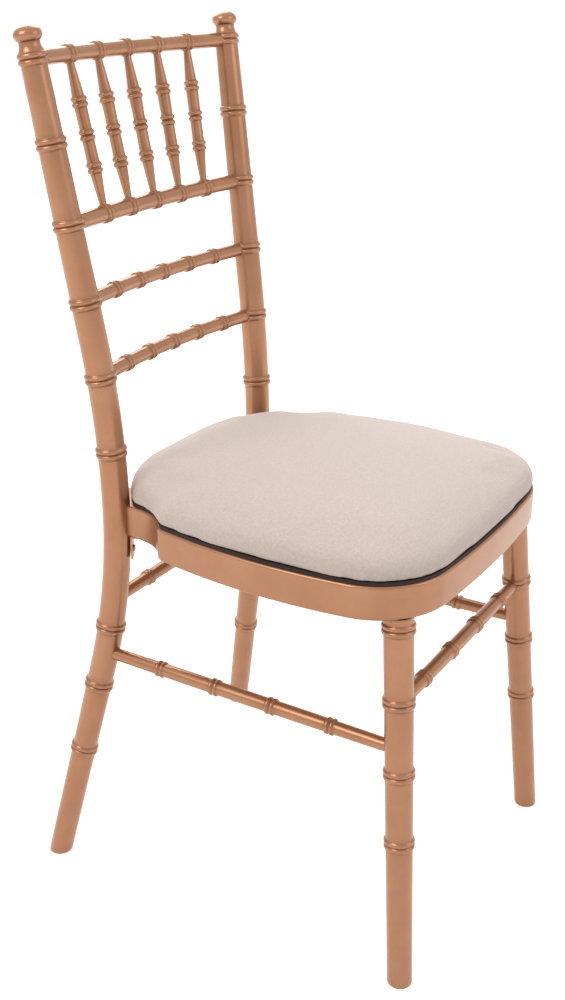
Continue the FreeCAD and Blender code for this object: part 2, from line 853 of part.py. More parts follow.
rail_sockets = []
for name, rail in RAILS.items():
    rail_sockets.append(shaped(name + "_socket", rail.socket()))
    if name in ("crest_rail", "spindle_rail"):
        blank = shaped(name + "_blank", rail.shape())
        finish(name, cut_from(name, blank, spindle_bores))
    else:
        finish(name, shaped(name, rail.shape()))


# Rear posts and front legs.

for name in SIDES:
    blank = shaped("rear_post_%s_blank" % name, post_blank(name))
    tools = rail_sockets + [stretcher_bores["side_stretcher_" + name], stretcher_bores["rear_stretcher"]]
    tools += [dowel_bores["neck_post_dowel_" + name], dowel_bores["rail_post_dowel_" + name]]
    tools.append(bracket_bores[name][0])
    finish("rear_post_" + name, cut_from("rear_post_" + name, blank, tools))

slab = doc.addObject("Part::Box", "below_seat")
slab.Length = ROOM
slab.Width = ROOM
slab.setExpression("Height", "Sizes.seat_bottom")
slab.Placement = Placement(Vector(-ROOM / 2, -ROOM / 2, 0), Rotation())


def add_leg(name):
    """A front leg: turned, cut level at floor and seat frame, with a round tenon above."""
    line = leg_lines[name]
    piece = "front_leg_" + name
    spare = size["leg_radius_top"]
    stations = [(0.0, size["leg_radius_foot"]), (line.length + 2 * spare, size["leg_radius_top"])]
    heights = [size["leg_ring_first"] - step * size["leg_ring_pitch"] for step in range(4)]
    places = [height / line.along.z + spare for height in heights]
    blank = turned_stick(piece + "_turned", stations, places)
    blank.Placement = standing(line.foot - line.along * spare, line.along)
    trimmed = doc.addObject("Part::Common", piece + "_trimmed")
    trimmed.Base = blank
    trimmed.Tool = slab
    tenon_foot = line.foot + line.along * (line.length - size["leg_tenon_root"])
    length = "Sizes.leg_tenon_length + Sizes.leg_tenon_root"
    tenon = cylinder(piece + "_tenon", "Sizes.leg_tenon_radius", length, tenon_foot, line.along)
    whole = fused(piece + "_whole", [trimmed, tenon])
    doc.recompute()
    foot_edges = [
        (index + 1, size["foot_round"], size["foot_round"])
        for index, edge in enumerate(whole.Shape.Edges)
        if edge.BoundBox.ZMax < 0.001
    ]
    rounded = doc.addObject("Part::Fillet", piece + "_rounded")
    rounded.Base = whole
    rounded.Edges = foot_edges
    bores = [stretcher_bores["side_stretcher_" + name], stretcher_bores["front_stretcher"]]
    return cut_from(piece, rounded, bores)


leg_mortises = {}
for name in SIDES:
    finish("front_leg_" + name, add_leg(name))
    line = leg_lines[name]
    mortise_length = "Sizes.leg_tenon_length + Sizes.mortise_root + Sizes.panel_gap"
    mortise_foot = line.foot + line.along * (line.length - size["mortise_root"])
    mortise_radius = "Sizes.leg_tenon_radius + Sizes.glue_gap"
    leg_mortises[name] = cylinder("mortise_" + name, mortise_radius, mortise_length, mortise_foot, line.along)


# Seat frame: outlines in plan, worked out for the left half and mirrored.

def meeting(first, first_radius, second, second_radius, near):
    """The crossing of two circles that lies nearest a point."""
    gap = second - first
    span = gap.Length
    along = (span ** 2 + first_radius ** 2 - second_radius ** 2) / (2 * span)
    away = math.sqrt(first_radius ** 2 - along ** 2)
    axis = gap * (1 / span)
    across = Vector(-axis.y, axis.x, 0)
    choices = [first + axis * along + across * away, first + axis * along - across * away]
    return min(choices, key=lambda point: (point - near).Length)


def toward(centre, point, distance):
    """The point at a distance from a centre in the direction of another point."""
    return centre + (point - centre).normalize() * distance


FRONT = Vector(0, size["front_bow_radius"] - size["seat_front"], 0)
SIDE = Vector(size["seat_half_width"] - size["side_bow_radius"], -size["seat_widest_front"], 0)
NECK = Vector(NECK_OUTER + size["neck_curve_radius"], POST_Y - size["neck_run"], 0)
CORNER = meeting(
    FRONT,
    size["front_bow_radius"] - size["front_corner_radius"],
    SIDE,
    size["side_bow_radius"] - size["front_corner_radius"],
    Vector(size["seat_half_width"], -size["seat_front"], 0),
)
REAR_CORNER = meeting(
    SIDE,
    size["side_bow_radius"] - size["rear_corner_radius"],
    NECK,
    size["neck_curve_radius"] + size["rear_corner_radius"],
    Vector(size["seat_half_width"], 0, 0),
)


def arc(start, end, centre):
    """Three points of the short arc from start to end about a centre."""
    return (start, toward(centre, (start + end) * 0.5, (start - centre).Length), end)


def front_half(inset):
    """Front bow, corner and side bow of the outline moved in by a distance, and the side circle's radius."""
    bow = size["front_bow_radius"] - inset
    side = size["side_bow_radius"] - inset
    middle = FRONT + Vector(0, -bow, 0)
    corner_front = toward(FRONT, CORNER, bow)
    corner_side = toward(SIDE, CORNER, side)
    return [arc(middle, corner_front, FRONT), arc(corner_front, corner_side, CORNER)], corner_side, side


def outer_half(inset):
    """Left half of the outer outline from the front's middle to the start of the straight neck."""
    pieces, corner_side, side = front_half(inset)
    rear_start = toward(SIDE, REAR_CORNER, side)
    rear_end = toward(REAR_CORNER, NECK, size["rear_corner_radius"] - inset)
    neck_end = NECK - Vector(size["neck_curve_radius"] + inset, 0, 0)
    pieces.append(arc(corner_side, rear_start, SIDE))
    pieces.append(arc(rear_start, rear_end, REAR_CORNER))
    pieces.append(arc(rear_end, neck_end, NECK))
    return pieces


def inner_half(inset, back):
    """Left half of the frame's inner outline or the ledge's, down the neck to a distance back."""
    pieces, corner_side, side = front_half(inset)
    root_y = size["neck_root"]
    root = Vector(SIDE.x + math.sqrt(side ** 2 - (root_y - SIDE.y) ** 2), root_y, 0)
    neck_x = NECK_INNER + size["rim_width"] - inset
    neck = Vector(neck_x, POST_Y - size["neck_inner_run"], 0)
    pieces.append(arc(corner_side, root, SIDE))
    pieces.append((root, neck))
    pieces.append((neck, Vector(neck_x, back, 0)))
    return pieces


def mirrored(pieces):
    """The same run of pieces on the other side, walked the other way."""
    backwards = [reversed(piece) for piece in reversed(pieces)]
    return [tuple(Vector(-point.x, point.y, point.z) for point in piece) for piece in backwards]


def curve(points):
    """A line through two points or an arc through three."""
    return Part.LineSegment(*points) if len(points) == 2 else Part.Arc(*points)


def outline_sketch(body, name, pieces):
    sketch = new_sketch(body, name, "XY_Plane")
    for index, points in enumerate(pieces):
        sketch.addGeometry(curve(points), False)
        sketch.addConstraint(Sketcher.Constraint("Block", index))
    return sketch


def padded_up(body, sketch, length):
    pad = body.newObject("PartDesign::Pad", body.Name + "_pad")
    pad.Profile = sketch
    pad.setExpression("Length", length)
    sketch.Visibility = False
    body.Tip = pad
    return pad


def pocketed(body, sketch, rise, depth):
    """Pocket cut downwards from a height above the body's base."""
    sketch.setExpression("AttachmentOffset.Base.z", rise)
    pocket = body.newObject("PartDesign::Pocket", body.Name + "_pocket")
    pocket.Profile = sketch
    pocket.setExpression("Length", depth)
    sketch.Visibility = False
    body.Tip = pocket
    return pocket


NECK_END = Vector(NECK_OUTER, RAIL_FRONT, 0)
LEDGE_DEPTH = "Sizes.panel_drop + Sizes.panel_thickness"


def add_hoop():
    """The bent front, sides and necks of the seat frame in one piece, with a ledge for the panel."""
    outer = outer_half(0.0)
    inner = inner_half(size["rim_width"], RAIL_FRONT)
    half = outer + [(outer[-1][-1], NECK_END), (NECK_END, inner[-1][-1])]
    body = doc.addObject("PartDesign::Body", "hoop_blank")
    outline = outline_sketch(body, "hoop_outline", half + mirrored(half) + inner + mirrored(inner))
    padded_up(body, outline, "Sizes.seat_frame_depth")
    doc.recompute()
    rounded = body.newObject("PartDesign::Fillet", "hoop_rounding")
    rounded.Base = (body.Group[-2], outer_edges(body.Group[-2].Shape, half[:-1]))
    rounded.setExpression("Radius", "Sizes.edge_round")
    body.Tip = rounded
    ledge_inset = size["rim_width"] - size["ledge_width"]
    ledge = inner_half(ledge_inset, LEDGE_BACK)
    closing = [(ledge[-1][-1], mirrored(ledge)[0][0])]
    sketch = outline_sketch(body, "hoop_ledge", ledge + closing + mirrored(ledge))
    pocketed(body, sketch, "Sizes.seat_frame_depth", LEDGE_DEPTH)
    body.Placement = Placement(Vector(0, 0, size["seat_bottom"]), Rotation())
    return body


def outer_edges(shape, pieces):
    """Names of the level edges that lie on the outline's outer side."""
    middles = [points[1] if len(points) == 3 else (points[0] + points[1]) * 0.5 for points in pieces]
    names = []
    for index, edge in enumerate(shape.Edges):
        box = edge.BoundBox
        if box.ZLength > 0.001:
            continue
        for middle in middles:
            near = Part.Vertex(Vector(abs(middle.x) * (1 if box.Center.x > 0 else -1), middle.y, box.ZMin))
            if edge.distToShape(near)[0] < 0.001:
                names.append("Edge%d" % (index + 1))
                break
    return names


def boxed_sketch(body, name, half_width, front, back):
    """A rectangle across the middle of the chair."""
    sketch = new_sketch(body, name, "XY_Plane")
    across = (-half_width, half_width)
    corners = [Vector(across[0], front, 0), Vector(across[1], front, 0)]
    corners += [Vector(across[1], back, 0), Vector(across[0], back, 0)]
    for index in range(4):
        sketch.addGeometry(Part.LineSegment(corners[index], corners[(index + 1) % 4]), False)
    for index in range(4):
        sketch.addConstraint(Sketcher.Constraint("Coincident", index, 2, (index + 1) % 4, 1))
        sketch.addConstraint(Sketcher.Constraint("Block", index))
    return sketch


RAIL_HALF = POST_X - size["post_radius_seat"] + size["rear_rail_end"]
RAIL_BACK = RAIL_FRONT + size["rear_rail_width"]


def add_rear_rail():
    body = doc.addObject("PartDesign::Body", "rear_rail_blank")
    outline = boxed_sketch(body, "rail_outline", RAIL_HALF, RAIL_FRONT, RAIL_BACK)
    padded_up(body, outline, "Sizes.seat_frame_depth")
    ledge_half = NECK_INNER + size["ledge_width"]
    sketch = boxed_sketch(body, "rail_ledge", ledge_half, RAIL_FRONT - size["ledge_width"], LEDGE_BACK)
    pocketed(body, sketch, "Sizes.seat_frame_depth", LEDGE_DEPTH)
    body.Placement = Placement(Vector(0, 0, size["seat_bottom"]), Rotation())
    return body


def add_panel():
    """Plywood panel that fills the frame, a little smaller than its ledges all round."""
    inset = size["rim_width"] - size["ledge_width"] + size["panel_gap"]
    half = inner_half(inset, LEDGE_BACK - size["panel_gap"])
    closing = [(half[-1][-1], mirrored(half)[0][0])]
    body = doc.addObject("PartDesign::Body", "panel_blank")
    outline = outline_sketch(body, "panel_outline", half + closing + mirrored(half))
    padded_up(body, outline, "Sizes.panel_thickness")
    bottom = size["seat_bottom"] + size["seat_frame_depth"] - size["panel_drop"] - size["panel_thickness"]
    body.Placement = Placement(Vector(0, 0, bottom), Rotation())
    return body


SEAT_TOP = size["seat_bottom"] + size["seat_frame_depth"]
PANEL_TOP = SEAT_TOP - size["panel_drop"]


def panel_screw_points():
    """Eight points along the middle of the ledges: two in front, two down each side, two behind."""
    inset = size["rim_width"] - size["ledge_width"] / 2
    bow = size["front_bow_radius"] - inset
    side = size["side_bow_radius"] - inset
    points = []
    for hand in SIDES.values():
        across = hand * size["panel_screw_across"]
        points.append(Vector(across, FRONT.y - math.sqrt(bow ** 2 - across ** 2), PANEL_TOP))
        for along in (-size["panel_screw_front"], size["panel_screw_rear"]):
            ledge_x = SIDE.x + math.sqrt(side ** 2 - (along - SIDE.y) ** 2)
            points.append(Vector(hand * ledge_x, along, PANEL_TOP))
        points.append(Vector(across, RAIL_FRONT + size["ledge_width"] / 2, PANEL_TOP))
    return points


panel_screws = []
panel_screw_bores = []
DOWN = Vector(0, 0, -1)
for index, point in enumerate(panel_screw_points()):
    screw = placed(flat_screw(size["panel_screw_length"], 0.0), point, DOWN)
    panel_screws.append(shaped("panel_screw_%d" % index, screw))
    bore = placed(flat_screw(size["panel_screw_length"], size["glue_gap"]), point, DOWN)
    panel_screw_bores.append(shaped("panel_screw_bore_%d" % index, bore))
finish("panel_screws", gathered("panel_screws", panel_screws))
finish("seat_panel", cut_from("seat_panel", add_panel(), panel_screw_bores))

copes = []
for name, line in post_lines.items():
    cope_radius = size["post_radius_seat"] + size["glue_gap"]
    copes.append(shaped("cope_above_" + name, bent_run(line, line.above, cope_radius)))
    copes.append(shaped("cope_below_" + name, bent_run(line, line.below, cope_radius)))

hoop_tools = copes + panel_screw_bores + list(leg_mortises.values())
rail_tools = copes + panel_screw_bores
for name in SIDES:
    rail_dowel_bore = dowel_bores["neck_rail_dowel_" + name]
    hoop_tools += [bracket_bores[name][1], rail_dowel_bore, dowel_bores["neck_post_dowel_" + name]]
    rail_tools += [rail_dowel_bore, dowel_bores["rail_post_dowel_" + name]]
finish("seat_hoop", cut_from("seat_hoop", add_hoop(), hoop_tools))
finish("seat_rear_rail", cut_from("seat_rear_rail", add_rear_rail(), rail_tools))


# Lift-off pad: board, cushion and hook-and-loop strips.

PAD_BASE = SEAT_TOP + size["pad_seat_gap"]
REAR_ROUND_RADIUS = size["pad_rear_radius"]
REAR_EDGE = POST_Y + size["pad_rear_reach"]


def rear_round_centre():
    """Centre of the pad's rear round: it clears the post by the gap and ends along the rear edge."""
    centre_y = REAR_EDGE - REAR_ROUND_RADIUS
    clear = REAR_ROUND_RADIUS + size["post_radius_seat"] + size["pad_post_gap"]
    return Vector(POST_X - math.sqrt(clear ** 2 - (POST_Y - centre_y) ** 2), centre_y, 0)


def pad_half():
    """Left half of the pad's outline: the frame's, a round at the post, then the rear round and edge."""
    inset = size["pad_inset"]
    pieces = outer_half(inset)
    neck_radius = size["neck_curve_radius"] + inset
    rear_round = rear_round_centre()
    corner = meeting(
        rear_round,
        REAR_ROUND_RADIUS - size["pad_corner_radius"],
        NECK,
        neck_radius + size["pad_corner_radius"],
        Vector(POST_X, POST_Y, 0),
    )
    corner_start = toward(NECK, corner, neck_radius)
    corner_end = toward(rear_round, corner, REAR_ROUND_RADIUS)
    edge_end = rear_round + Vector(0, REAR_ROUND_RADIUS, 0)
    pieces[-1] = arc(pieces[-1][0], corner_start, NECK)
    pieces.append(arc(corner_start, corner_end, corner))
    pieces.append(arc(corner_end, edge_end, rear_round))
    pieces.append((edge_end, Vector(0, REAR_EDGE, 0)))
    return pieces


def add_board():
    half = pad_half()
    body = doc.addObject("PartDesign::Body", "pad_board")
    padded_up(body, outline_sketch(body, "board_outline", half + mirrored(half)), "Sizes.board_thickness")
    body.Placement = Placement(Vector(0, 0, PAD_BASE), Rotation())
    return body


# The cushion's sections: share of its height, then share of the way from its middle to the outline.
CUSHION_SECTIONS = [
    (0.0, 0.992),
    (0.1, 1.0),
    (0.25, 0.998),
    (0.4, 0.985),
    (0.55, 0.95),
    (0.69, 0.88),
    (0.82, 0.75),
    (0.92, 0.55),
    (0.98, 0.3),
    (1.0, 0.1),
]
CUSHION_MIDDLE = Vector(0, -size["cushion_middle"], 0)


def cushion_section(share, height):
    """The pad's outline drawn in toward its middle, at a height."""
    pieces = pad_half()
    lift = Vector(0, 0, height)
    edges = []
    for points in pieces + mirrored(pieces):
        moved = [CUSHION_MIDDLE + (point - CUSHION_MIDDLE) * share + lift for point in points]
        edges.append(curve(moved).toShape())
    return Part.Wire(edges)


def cushion_shape():
    """Upholstered cushion: sides that swell and draw in, then a crown over the whole seat."""
    base = PAD_BASE + size["board_thickness"]
    tall = size["cushion_height"]
    sections = [cushion_section(share, base + tall * rise) for rise, share in CUSHION_SECTIONS]
    return Part.makeLoft(sections, True, False, False, 3)


finish("pad_board", add_board())
finish("seat_cushion", shaped("seat_cushion", cushion_shape()))


def strips(name, bottom):
    """Four strips in two rows, lengthwise across the seat."""
    pieces = []
    for row, back in enumerate((-size["strip_front"], size["strip_rear"])):
        for hand in SIDES.values():
            strip = doc.addObject("Part::Box", "%s_%d_%d" % (name, row, 0 if hand > 0 else 1))
            strip.setExpression("Length", "Sizes.strip_length")
            strip.setExpression("Width", "Sizes.strip_width")
            strip.setExpression("Height", "Sizes.strip_thickness")
            across = hand * size["strip_across"] - size["strip_length"] / 2
            strip.Placement = Placement(Vector(across, back, bottom), Rotation())
            pieces.append(strip)
    return gathered(name, pieces)


finish("hook_strips", strips("hook_strips", PANEL_TOP))
finish("loop_strips", strips("loop_strips", PAD_BASE - size["strip_thickness"]))


# Check every object and write each finished sub-part.

doc.recompute()
problems = []
for item in doc.Objects:
    if "Invalid" in item.State or "Error" in item.State:
        problems.append("%s: %s" % (item.Name, item.State))
for name, feature in finished.items():
    shape = feature.Shape
    if shape.isNull() or not shape.isValid() or not shape.Solids:
        problems.append("%s: shape is not a valid solid" % name)
    print("%-22s %2d solids, %8.1f cm3, z %.1f to %.1f" % (
        name, len(shape.Solids), shape.Volume / 1000, shape.BoundBox.ZMin, shape.BoundBox.ZMax))
if problems:
    raise RuntimeError("; ".join(problems))

os.makedirs("parts", exist_ok=True)
for name, feature in finished.items():
    feature.Shape.exportStep("parts/%s.step" % name)
print(len(finished), "sub-parts written")
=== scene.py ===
# %% [markdown]
# # A chiavari chair
# A light banquet chair of turned and steam-bent wood, sprayed in a satin copper-rose metallic paint, with a
# loose pad covered in an ivory suede-like weave. The joinery comes from the CAD frame. This script dresses it:
# every turned stick gets a smooth skin with crisp double beads, the seat frame gets rounded edges, and the pad
# becomes a stuffed cushion. The first cell brings in the frame.

# %% Bring in the frame
import math

import bpy
import numpy as np
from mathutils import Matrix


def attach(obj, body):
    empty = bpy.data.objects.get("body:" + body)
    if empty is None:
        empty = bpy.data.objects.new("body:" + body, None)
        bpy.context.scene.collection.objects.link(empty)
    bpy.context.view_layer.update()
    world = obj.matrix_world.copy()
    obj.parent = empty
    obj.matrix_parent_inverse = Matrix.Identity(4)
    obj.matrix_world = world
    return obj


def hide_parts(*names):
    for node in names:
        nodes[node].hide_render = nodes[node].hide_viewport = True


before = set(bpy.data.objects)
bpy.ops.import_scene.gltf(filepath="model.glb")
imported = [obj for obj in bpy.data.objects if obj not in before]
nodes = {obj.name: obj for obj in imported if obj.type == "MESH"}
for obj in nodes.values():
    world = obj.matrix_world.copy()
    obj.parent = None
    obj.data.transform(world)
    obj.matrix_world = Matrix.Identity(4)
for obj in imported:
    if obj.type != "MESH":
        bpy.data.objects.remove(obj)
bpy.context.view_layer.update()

MM = 0.001

# %% [markdown]
# ## The camera
# The chair is seen from its front right, a little above the seat. The photograph's camera was worked out from
# measured points on the chair, so the same lens and place are set here. The sensor's longer side lies along the
# picture's height, which is how Blender reads a portrait frame when the fit is automatic.

# %% Set up the camera
CAMERA_PLACE = (-1.0966, -0.6336, 0.9717)
CAMERA_TILT = math.radians(66.635)
CAMERA_TURN = math.radians(-58.856)

camera_data = bpy.data.cameras.new("photo_camera")
camera_data.sensor_width = 36.0
camera_data.lens = 45.76
camera = bpy.data.objects.new("photo_camera", camera_data)
camera.location = CAMERA_PLACE
camera.rotation_euler = (CAMERA_TILT, 0.0, CAMERA_TURN)
bpy.context.scene.collection.objects.link(camera)
bpy.context.scene.camera = camera
bpy.context.scene.view_settings.view_transform = "Standard"
print("camera at", CAMERA_PLACE, "lens", camera_data.lens, "mm")

# %% [markdown]
# ## Studio
# The chair stands in a white studio. Big soft lamps give metal its long, quiet highlights: a small lamp would
# leave hard white dots on every bead. The floor and the world look white to the camera and in reflections, while
# the light that they send out stays moderate, so that the pale fabric does not clip.

# %% Helpers for materials
def new_material(name):
    """An empty node material and its two ends: the tree and the Principled shader."""
    material = bpy.data.materials.new(name)
    material.use_nodes = True
    tree = material.node_tree
    return material, tree, tree.nodes["Principled BSDF"]


def add_node(tree, kind, **settings):
    """A shader node with its properties set by name and its inputs by their labels."""
    node = tree.nodes.new(kind)
    for label, value in settings.items():
        if label in node.inputs:
            node.inputs[label].default_value = value
        else:
            setattr(node, label, value)
    return node


def object_textures(tree, *textures):
    """Texture nodes that read the object's own coordinates."""
    place = tree.nodes.new("ShaderNodeTexCoord")
    for texture in textures:
        tree.links.new(place.outputs["Object"], texture.inputs["Vector"])


def remap(tree, value, start, end, low, high, **settings):
    """A value that goes from low to high while its input goes from start to end."""
    node = add_node(tree, "ShaderNodeMapRange", **settings)
    for label, number in (("From Min", start), ("From Max", end), ("To Min", low), ("To Max", high)):
        node.inputs[label].default_value = number
    tree.links.new(value, node.inputs["Value"])
    return node.outputs["Result"]


MIX_FIRST, MIX_SECOND, MIX_RESULT = 6, 7, 2


def blend(tree, factor, first, second):
    """The colour that goes from the first to the second; the first may be another node's output."""
    mix = add_node(tree, "ShaderNodeMix", data_type="RGBA")
    if isinstance(first, tuple):
        mix.inputs[MIX_FIRST].default_value = first
    else:
        tree.links.new(first, mix.inputs[MIX_FIRST])
    mix.inputs[MIX_SECOND].default_value = second
    tree.links.new(factor, mix.inputs["Factor"])
    return mix.outputs[MIX_RESULT]


def relief(tree, shader, height, strength, distance):
    """A slight bump on a shader's normal."""
    bump = add_node(tree, "ShaderNodeBump", Strength=strength, Distance=distance)
    tree.links.new(height, bump.inputs["Height"])
    tree.links.new(bump.outputs["Normal"], shader.inputs["Normal"])


print("material helpers ready")

# %% White surroundings
def camera_white(tree, look, light):
    """A shader that looks plain white to the camera and in mirrors, and gives its light to everything else."""
    path = tree.nodes.new("ShaderNodeLightPath")
    seen = add_node(tree, "ShaderNodeMath", operation="MAXIMUM")
    tree.links.new(path.outputs["Is Camera Ray"], seen.inputs[0])
    tree.links.new(path.outputs["Is Transmission Ray"], seen.inputs[1])
    either = add_node(tree, "ShaderNodeMath", operation="MAXIMUM")
    tree.links.new(seen.outputs[0], either.inputs[0])
    tree.links.new(path.outputs["Is Glossy Ray"], either.inputs[1])
    mix = tree.nodes.new("ShaderNodeMixShader")
    tree.links.new(either.outputs[0], mix.inputs[0])
    tree.links.new(light.outputs[0], mix.inputs[1])
    tree.links.new(look.outputs[0], mix.inputs[2])
    return mix


WORLD_LIGHT = 0.95
DARK_SIDE = (-0.80, -0.48, -0.36)
DARK_SHARE = 0.50
DARK_SPREAD = (-0.35, 0.85)
world = bpy.data.worlds.new("studio")
world.use_nodes = True
bpy.context.scene.world = world
world_tree = world.node_tree
white = add_node(world_tree, "ShaderNodeBackground", Color=(1, 1, 1, 1), Strength=1.0)
heading = world_tree.nodes.new("ShaderNodeTexCoord")
facing = add_node(world_tree, "ShaderNodeVectorMath", operation="DOT_PRODUCT")
facing.inputs[1].default_value = DARK_SIDE
world_tree.links.new(heading.outputs["Generated"], facing.inputs[0])
fade = remap(world_tree, facing.outputs["Value"], *DARK_SPREAD, WORLD_LIGHT, WORLD_LIGHT * DARK_SHARE,
             interpolation_type="SMOOTHSTEP")
glow = add_node(world_tree, "ShaderNodeBackground", Color=(1, 1, 1, 1))
world_tree.links.new(fade, glow.inputs["Strength"])
surround = camera_white(world_tree, white, glow)
world_tree.links.new(surround.outputs[0], world_tree.nodes["World Output"].inputs["Surface"])
print("world light", WORLD_LIGHT)

# %% [markdown]
# The floor is one pale sheet. Pure white paint would hide the chair's shadow, so the floor stays a real surface
# that is almost white: where the chair stands, its soft contact shadows still show.

# %% Floor
FLOOR_HALF = 6.0
FLOOR_FADE = (0.5, 2.4)
FLOOR_GLOW = 0.60


def floor_sheet():
    """A level square: corners (x, y) = (+-h, +-h) at z = 0."""
    corner = np.array([(-1, -1, 0), (1, -1, 0), (1, 1, 0), (-1, 1, 0)], dtype=float) * FLOOR_HALF
    mesh = bpy.data.meshes.new("studio_floor")
    mesh.from_pydata(corner.tolist(), [], [(0, 1, 2, 3)])
    return bpy.data.objects.new("studio_floor", mesh)


floor = floor_sheet()
bpy.context.scene.collection.objects.link(floor)
floor_paint, floor_tree, floor_shader = new_material("studio_floor_paint")
floor_shader.inputs["Base Color"].default_value = (0.68, 0.66, 0.64, 1)
floor_shader.inputs["Roughness"].default_value = 0.9
floor_white = add_node(floor_tree, "ShaderNodeEmission", Color=(1, 1, 1, 1))
floor_place = floor_tree.nodes.new("ShaderNodeTexCoord")
floor_reach = add_node(floor_tree, "ShaderNodeVectorMath", operation="LENGTH")
floor_tree.links.new(floor_place.outputs["Object"], floor_reach.inputs[0])
floor_fade = remap(floor_tree, floor_reach.outputs["Value"], *FLOOR_FADE, FLOOR_GLOW, 1.0,
                   interpolation_type="SMOOTHSTEP")
floor_tree.links.new(floor_fade, floor_white.inputs["Strength"])
floor_sum = floor_tree.nodes.new("ShaderNodeAddShader")
floor_tree.links.new(floor_shader.outputs[0], floor_sum.inputs[0])
floor_tree.links.new(floor_white.outputs[0], floor_sum.inputs[1])
floor_mix = camera_white(floor_tree, floor_sum, floor_shader)
floor_tree.links.new(floor_mix.outputs[0], floor_tree.nodes["Material Output"].inputs["Surface"])
floor.data.materials.append(floor_paint)
print("floor", 2 * FLOOR_HALF, "m square")

# %% Lamps
def soft_lamp(name, place, aim, size, power, colour=(1, 1, 1)):
    """A square area lamp that faces a point."""
    lamp_data = bpy.data.lights.new(name, "AREA")
    lamp_data.shape = "SQUARE"
    lamp_data.size = size
    lamp_data.energy = power
    lamp_data.color = colour
    lamp = bpy.data.objects.new(name, lamp_data)
    lamp.location = place
    toward = np.array(aim) - np.array(place)
    flat = math.hypot(toward[0], toward[1])
    lamp.rotation_euler = (math.atan2(flat, -toward[2]), 0.0, math.atan2(toward[1], toward[0]) - math.pi / 2)
    bpy.context.scene.collection.objects.link(lamp)
    return lamp


CHAIR_MIDDLE = (0.0, 0.0, 0.45)
soft_lamp("key_lamp", (-1.7, 0.6, 2.1), CHAIR_MIDDLE, 1.2, 20.0, (1.0, 0.98, 0.96))
soft_lamp("side_lamp", (0.5, -2.1, 1.7), CHAIR_MIDDLE, 1.4, 9.0, (0.98, 0.98, 1.0))
soft_lamp("back_lamp", (1.0, 1.2, 1.8), CHAIR_MIDDLE, 1.2, 14.0)

# %% [markdown]
# ## Copper-rose paint
# The whole frame is sprayed after it is glued up: a metallic lacquer, satin rather than mirror bright. Under the
# lamp it shows broad soft highlights and a very fine flake. Shade is painted into the grooves between the beads as a
# darker brown, and a slow cloud mixes in a paler tone at random. Each turned piece carries an attribute that says
# how much painted shade a point gets, and the material reads it.

# %% Paint
# The dark brown is painted shade for the grooves and creases; the pale tone is mixed in at random.
PAINT = (0.380, 0.178, 0.092, 1)
PAINT_GROOVE_SHADE = (0.165, 0.060, 0.026, 1)
PAINT_PALE = (0.430, 0.210, 0.114, 1)
PAINT_ROUGHNESS = (0.23, 0.36)


def copper_paint(name):
    """Metallic lacquer: cloudy tone, fine flake, painted shade in the grooves and a slight orange peel."""
    material, tree, shader = new_material(name)
    cloud = add_node(tree, "ShaderNodeTexNoise", Scale=22.0, Detail=4.0, Roughness=0.6)
    flake = add_node(tree, "ShaderNodeTexNoise", Scale=2600.0, Detail=2.0, Roughness=0.7)
    peel = add_node(tree, "ShaderNodeTexNoise", Scale=420.0, Detail=2.0, Roughness=0.5)
    object_textures(tree, cloud, flake, peel)
    tone = blend(tree, remap(tree, cloud.outputs["Fac"], 0.4, 0.75, 0.0, 1.0), PAINT, PAINT_PALE)
    # Painted shade: a per-point attribute darkens the grooves and creases towards the dark brown.
    groove_shade = add_node(tree, "ShaderNodeAttribute", attribute_name="groove_shade")
    shaded_tone = blend(tree, groove_shade.outputs["Fac"], tone, PAINT_GROOVE_SHADE)
    tree.links.new(shaded_tone, shader.inputs["Base Color"])
    rough = remap(tree, flake.outputs["Fac"], 0.0, 1.0, *PAINT_ROUGHNESS)
    tree.links.new(rough, shader.inputs["Roughness"])
    relief(tree, shader, peel.outputs["Fac"], 0.12, 0.0003)
    shader.inputs["Metallic"].default_value = 0.62
    shader.inputs["Coat Weight"].default_value = 0.08
    shader.inputs["Coat Roughness"].default_value = 0.22
    return material


frame_paint = copper_paint("frame_paint")
print("paint:", frame_paint.name)

# %% [markdown]
# ## Lines that the sticks follow
# A turned stick is a profile carried along a line. On this chair the lines are of three kinds: the rear posts,
# which are upright at the seat and bend outward on an arc above and below it; the bowed rails of the back, which
# are flat arcs; and everything else, which is straight. Each kind is a function from the distance along the line
# to a point and a direction, for whole arrays at once.

# %% Three kinds of line
def bent_line(base, rake, kick):
    """Point and direction at a distance s from the upright point; rake and kick are (splay, radius, angle).

    Up to s = R A the line turns on a circle: outward R (1 - cos(s / R)), upward R sin(s / R); beyond, it runs
    straight at the angle A.
    """
    def at(s):
        s = np.asarray(s, dtype=float)
        above = s >= 0
        splay, radius, angle = (np.where(above, up, down) for up, down in zip(rake, kick))
        turn = np.minimum(np.abs(s) / radius, angle)
        run = np.maximum(np.abs(s) - radius * angle, 0.0)
        sense = np.where(above, 1.0, -1.0)
        out = radius * (1 - np.cos(turn)) + run * np.sin(angle)
        rise = radius * np.sin(turn) + run * np.cos(angle)
        level = np.stack([np.sin(splay), np.cos(splay), np.zeros_like(s)], axis=-1)
        up = np.array([0.0, 0.0, 1.0])
        point = base + level * out[..., None] + up * (sense * rise)[..., None]
        along = level * (sense * np.sin(turn))[..., None] + up * np.cos(turn)[..., None]
        return point, along
    return at


def bowed_line(end, bow):
    """A flat arc through (-end x, y) and (end x, y) that bows back by bow; s = 0 in the middle.

    Radius R = (x^2 + bow^2) / (2 bow), point (R sin(s / R), y + bow - R + R cos(s / R), z).
    """
    radius = (end[0] ** 2 + bow ** 2) / (2 * bow)
    centre = np.array([0.0, end[1] + bow - radius, end[2]])

    def at(s):
        turn = np.asarray(s, dtype=float) / radius
        zero = np.zeros_like(turn)
        point = centre + np.stack([np.sin(turn), np.cos(turn), zero], axis=-1) * radius
        return point, np.stack([np.cos(turn), -np.sin(turn), zero], axis=-1)
    at.half = radius * math.asin(end[0] / radius)
    at.place = lambda x: radius * math.asin(x / radius)
    return at


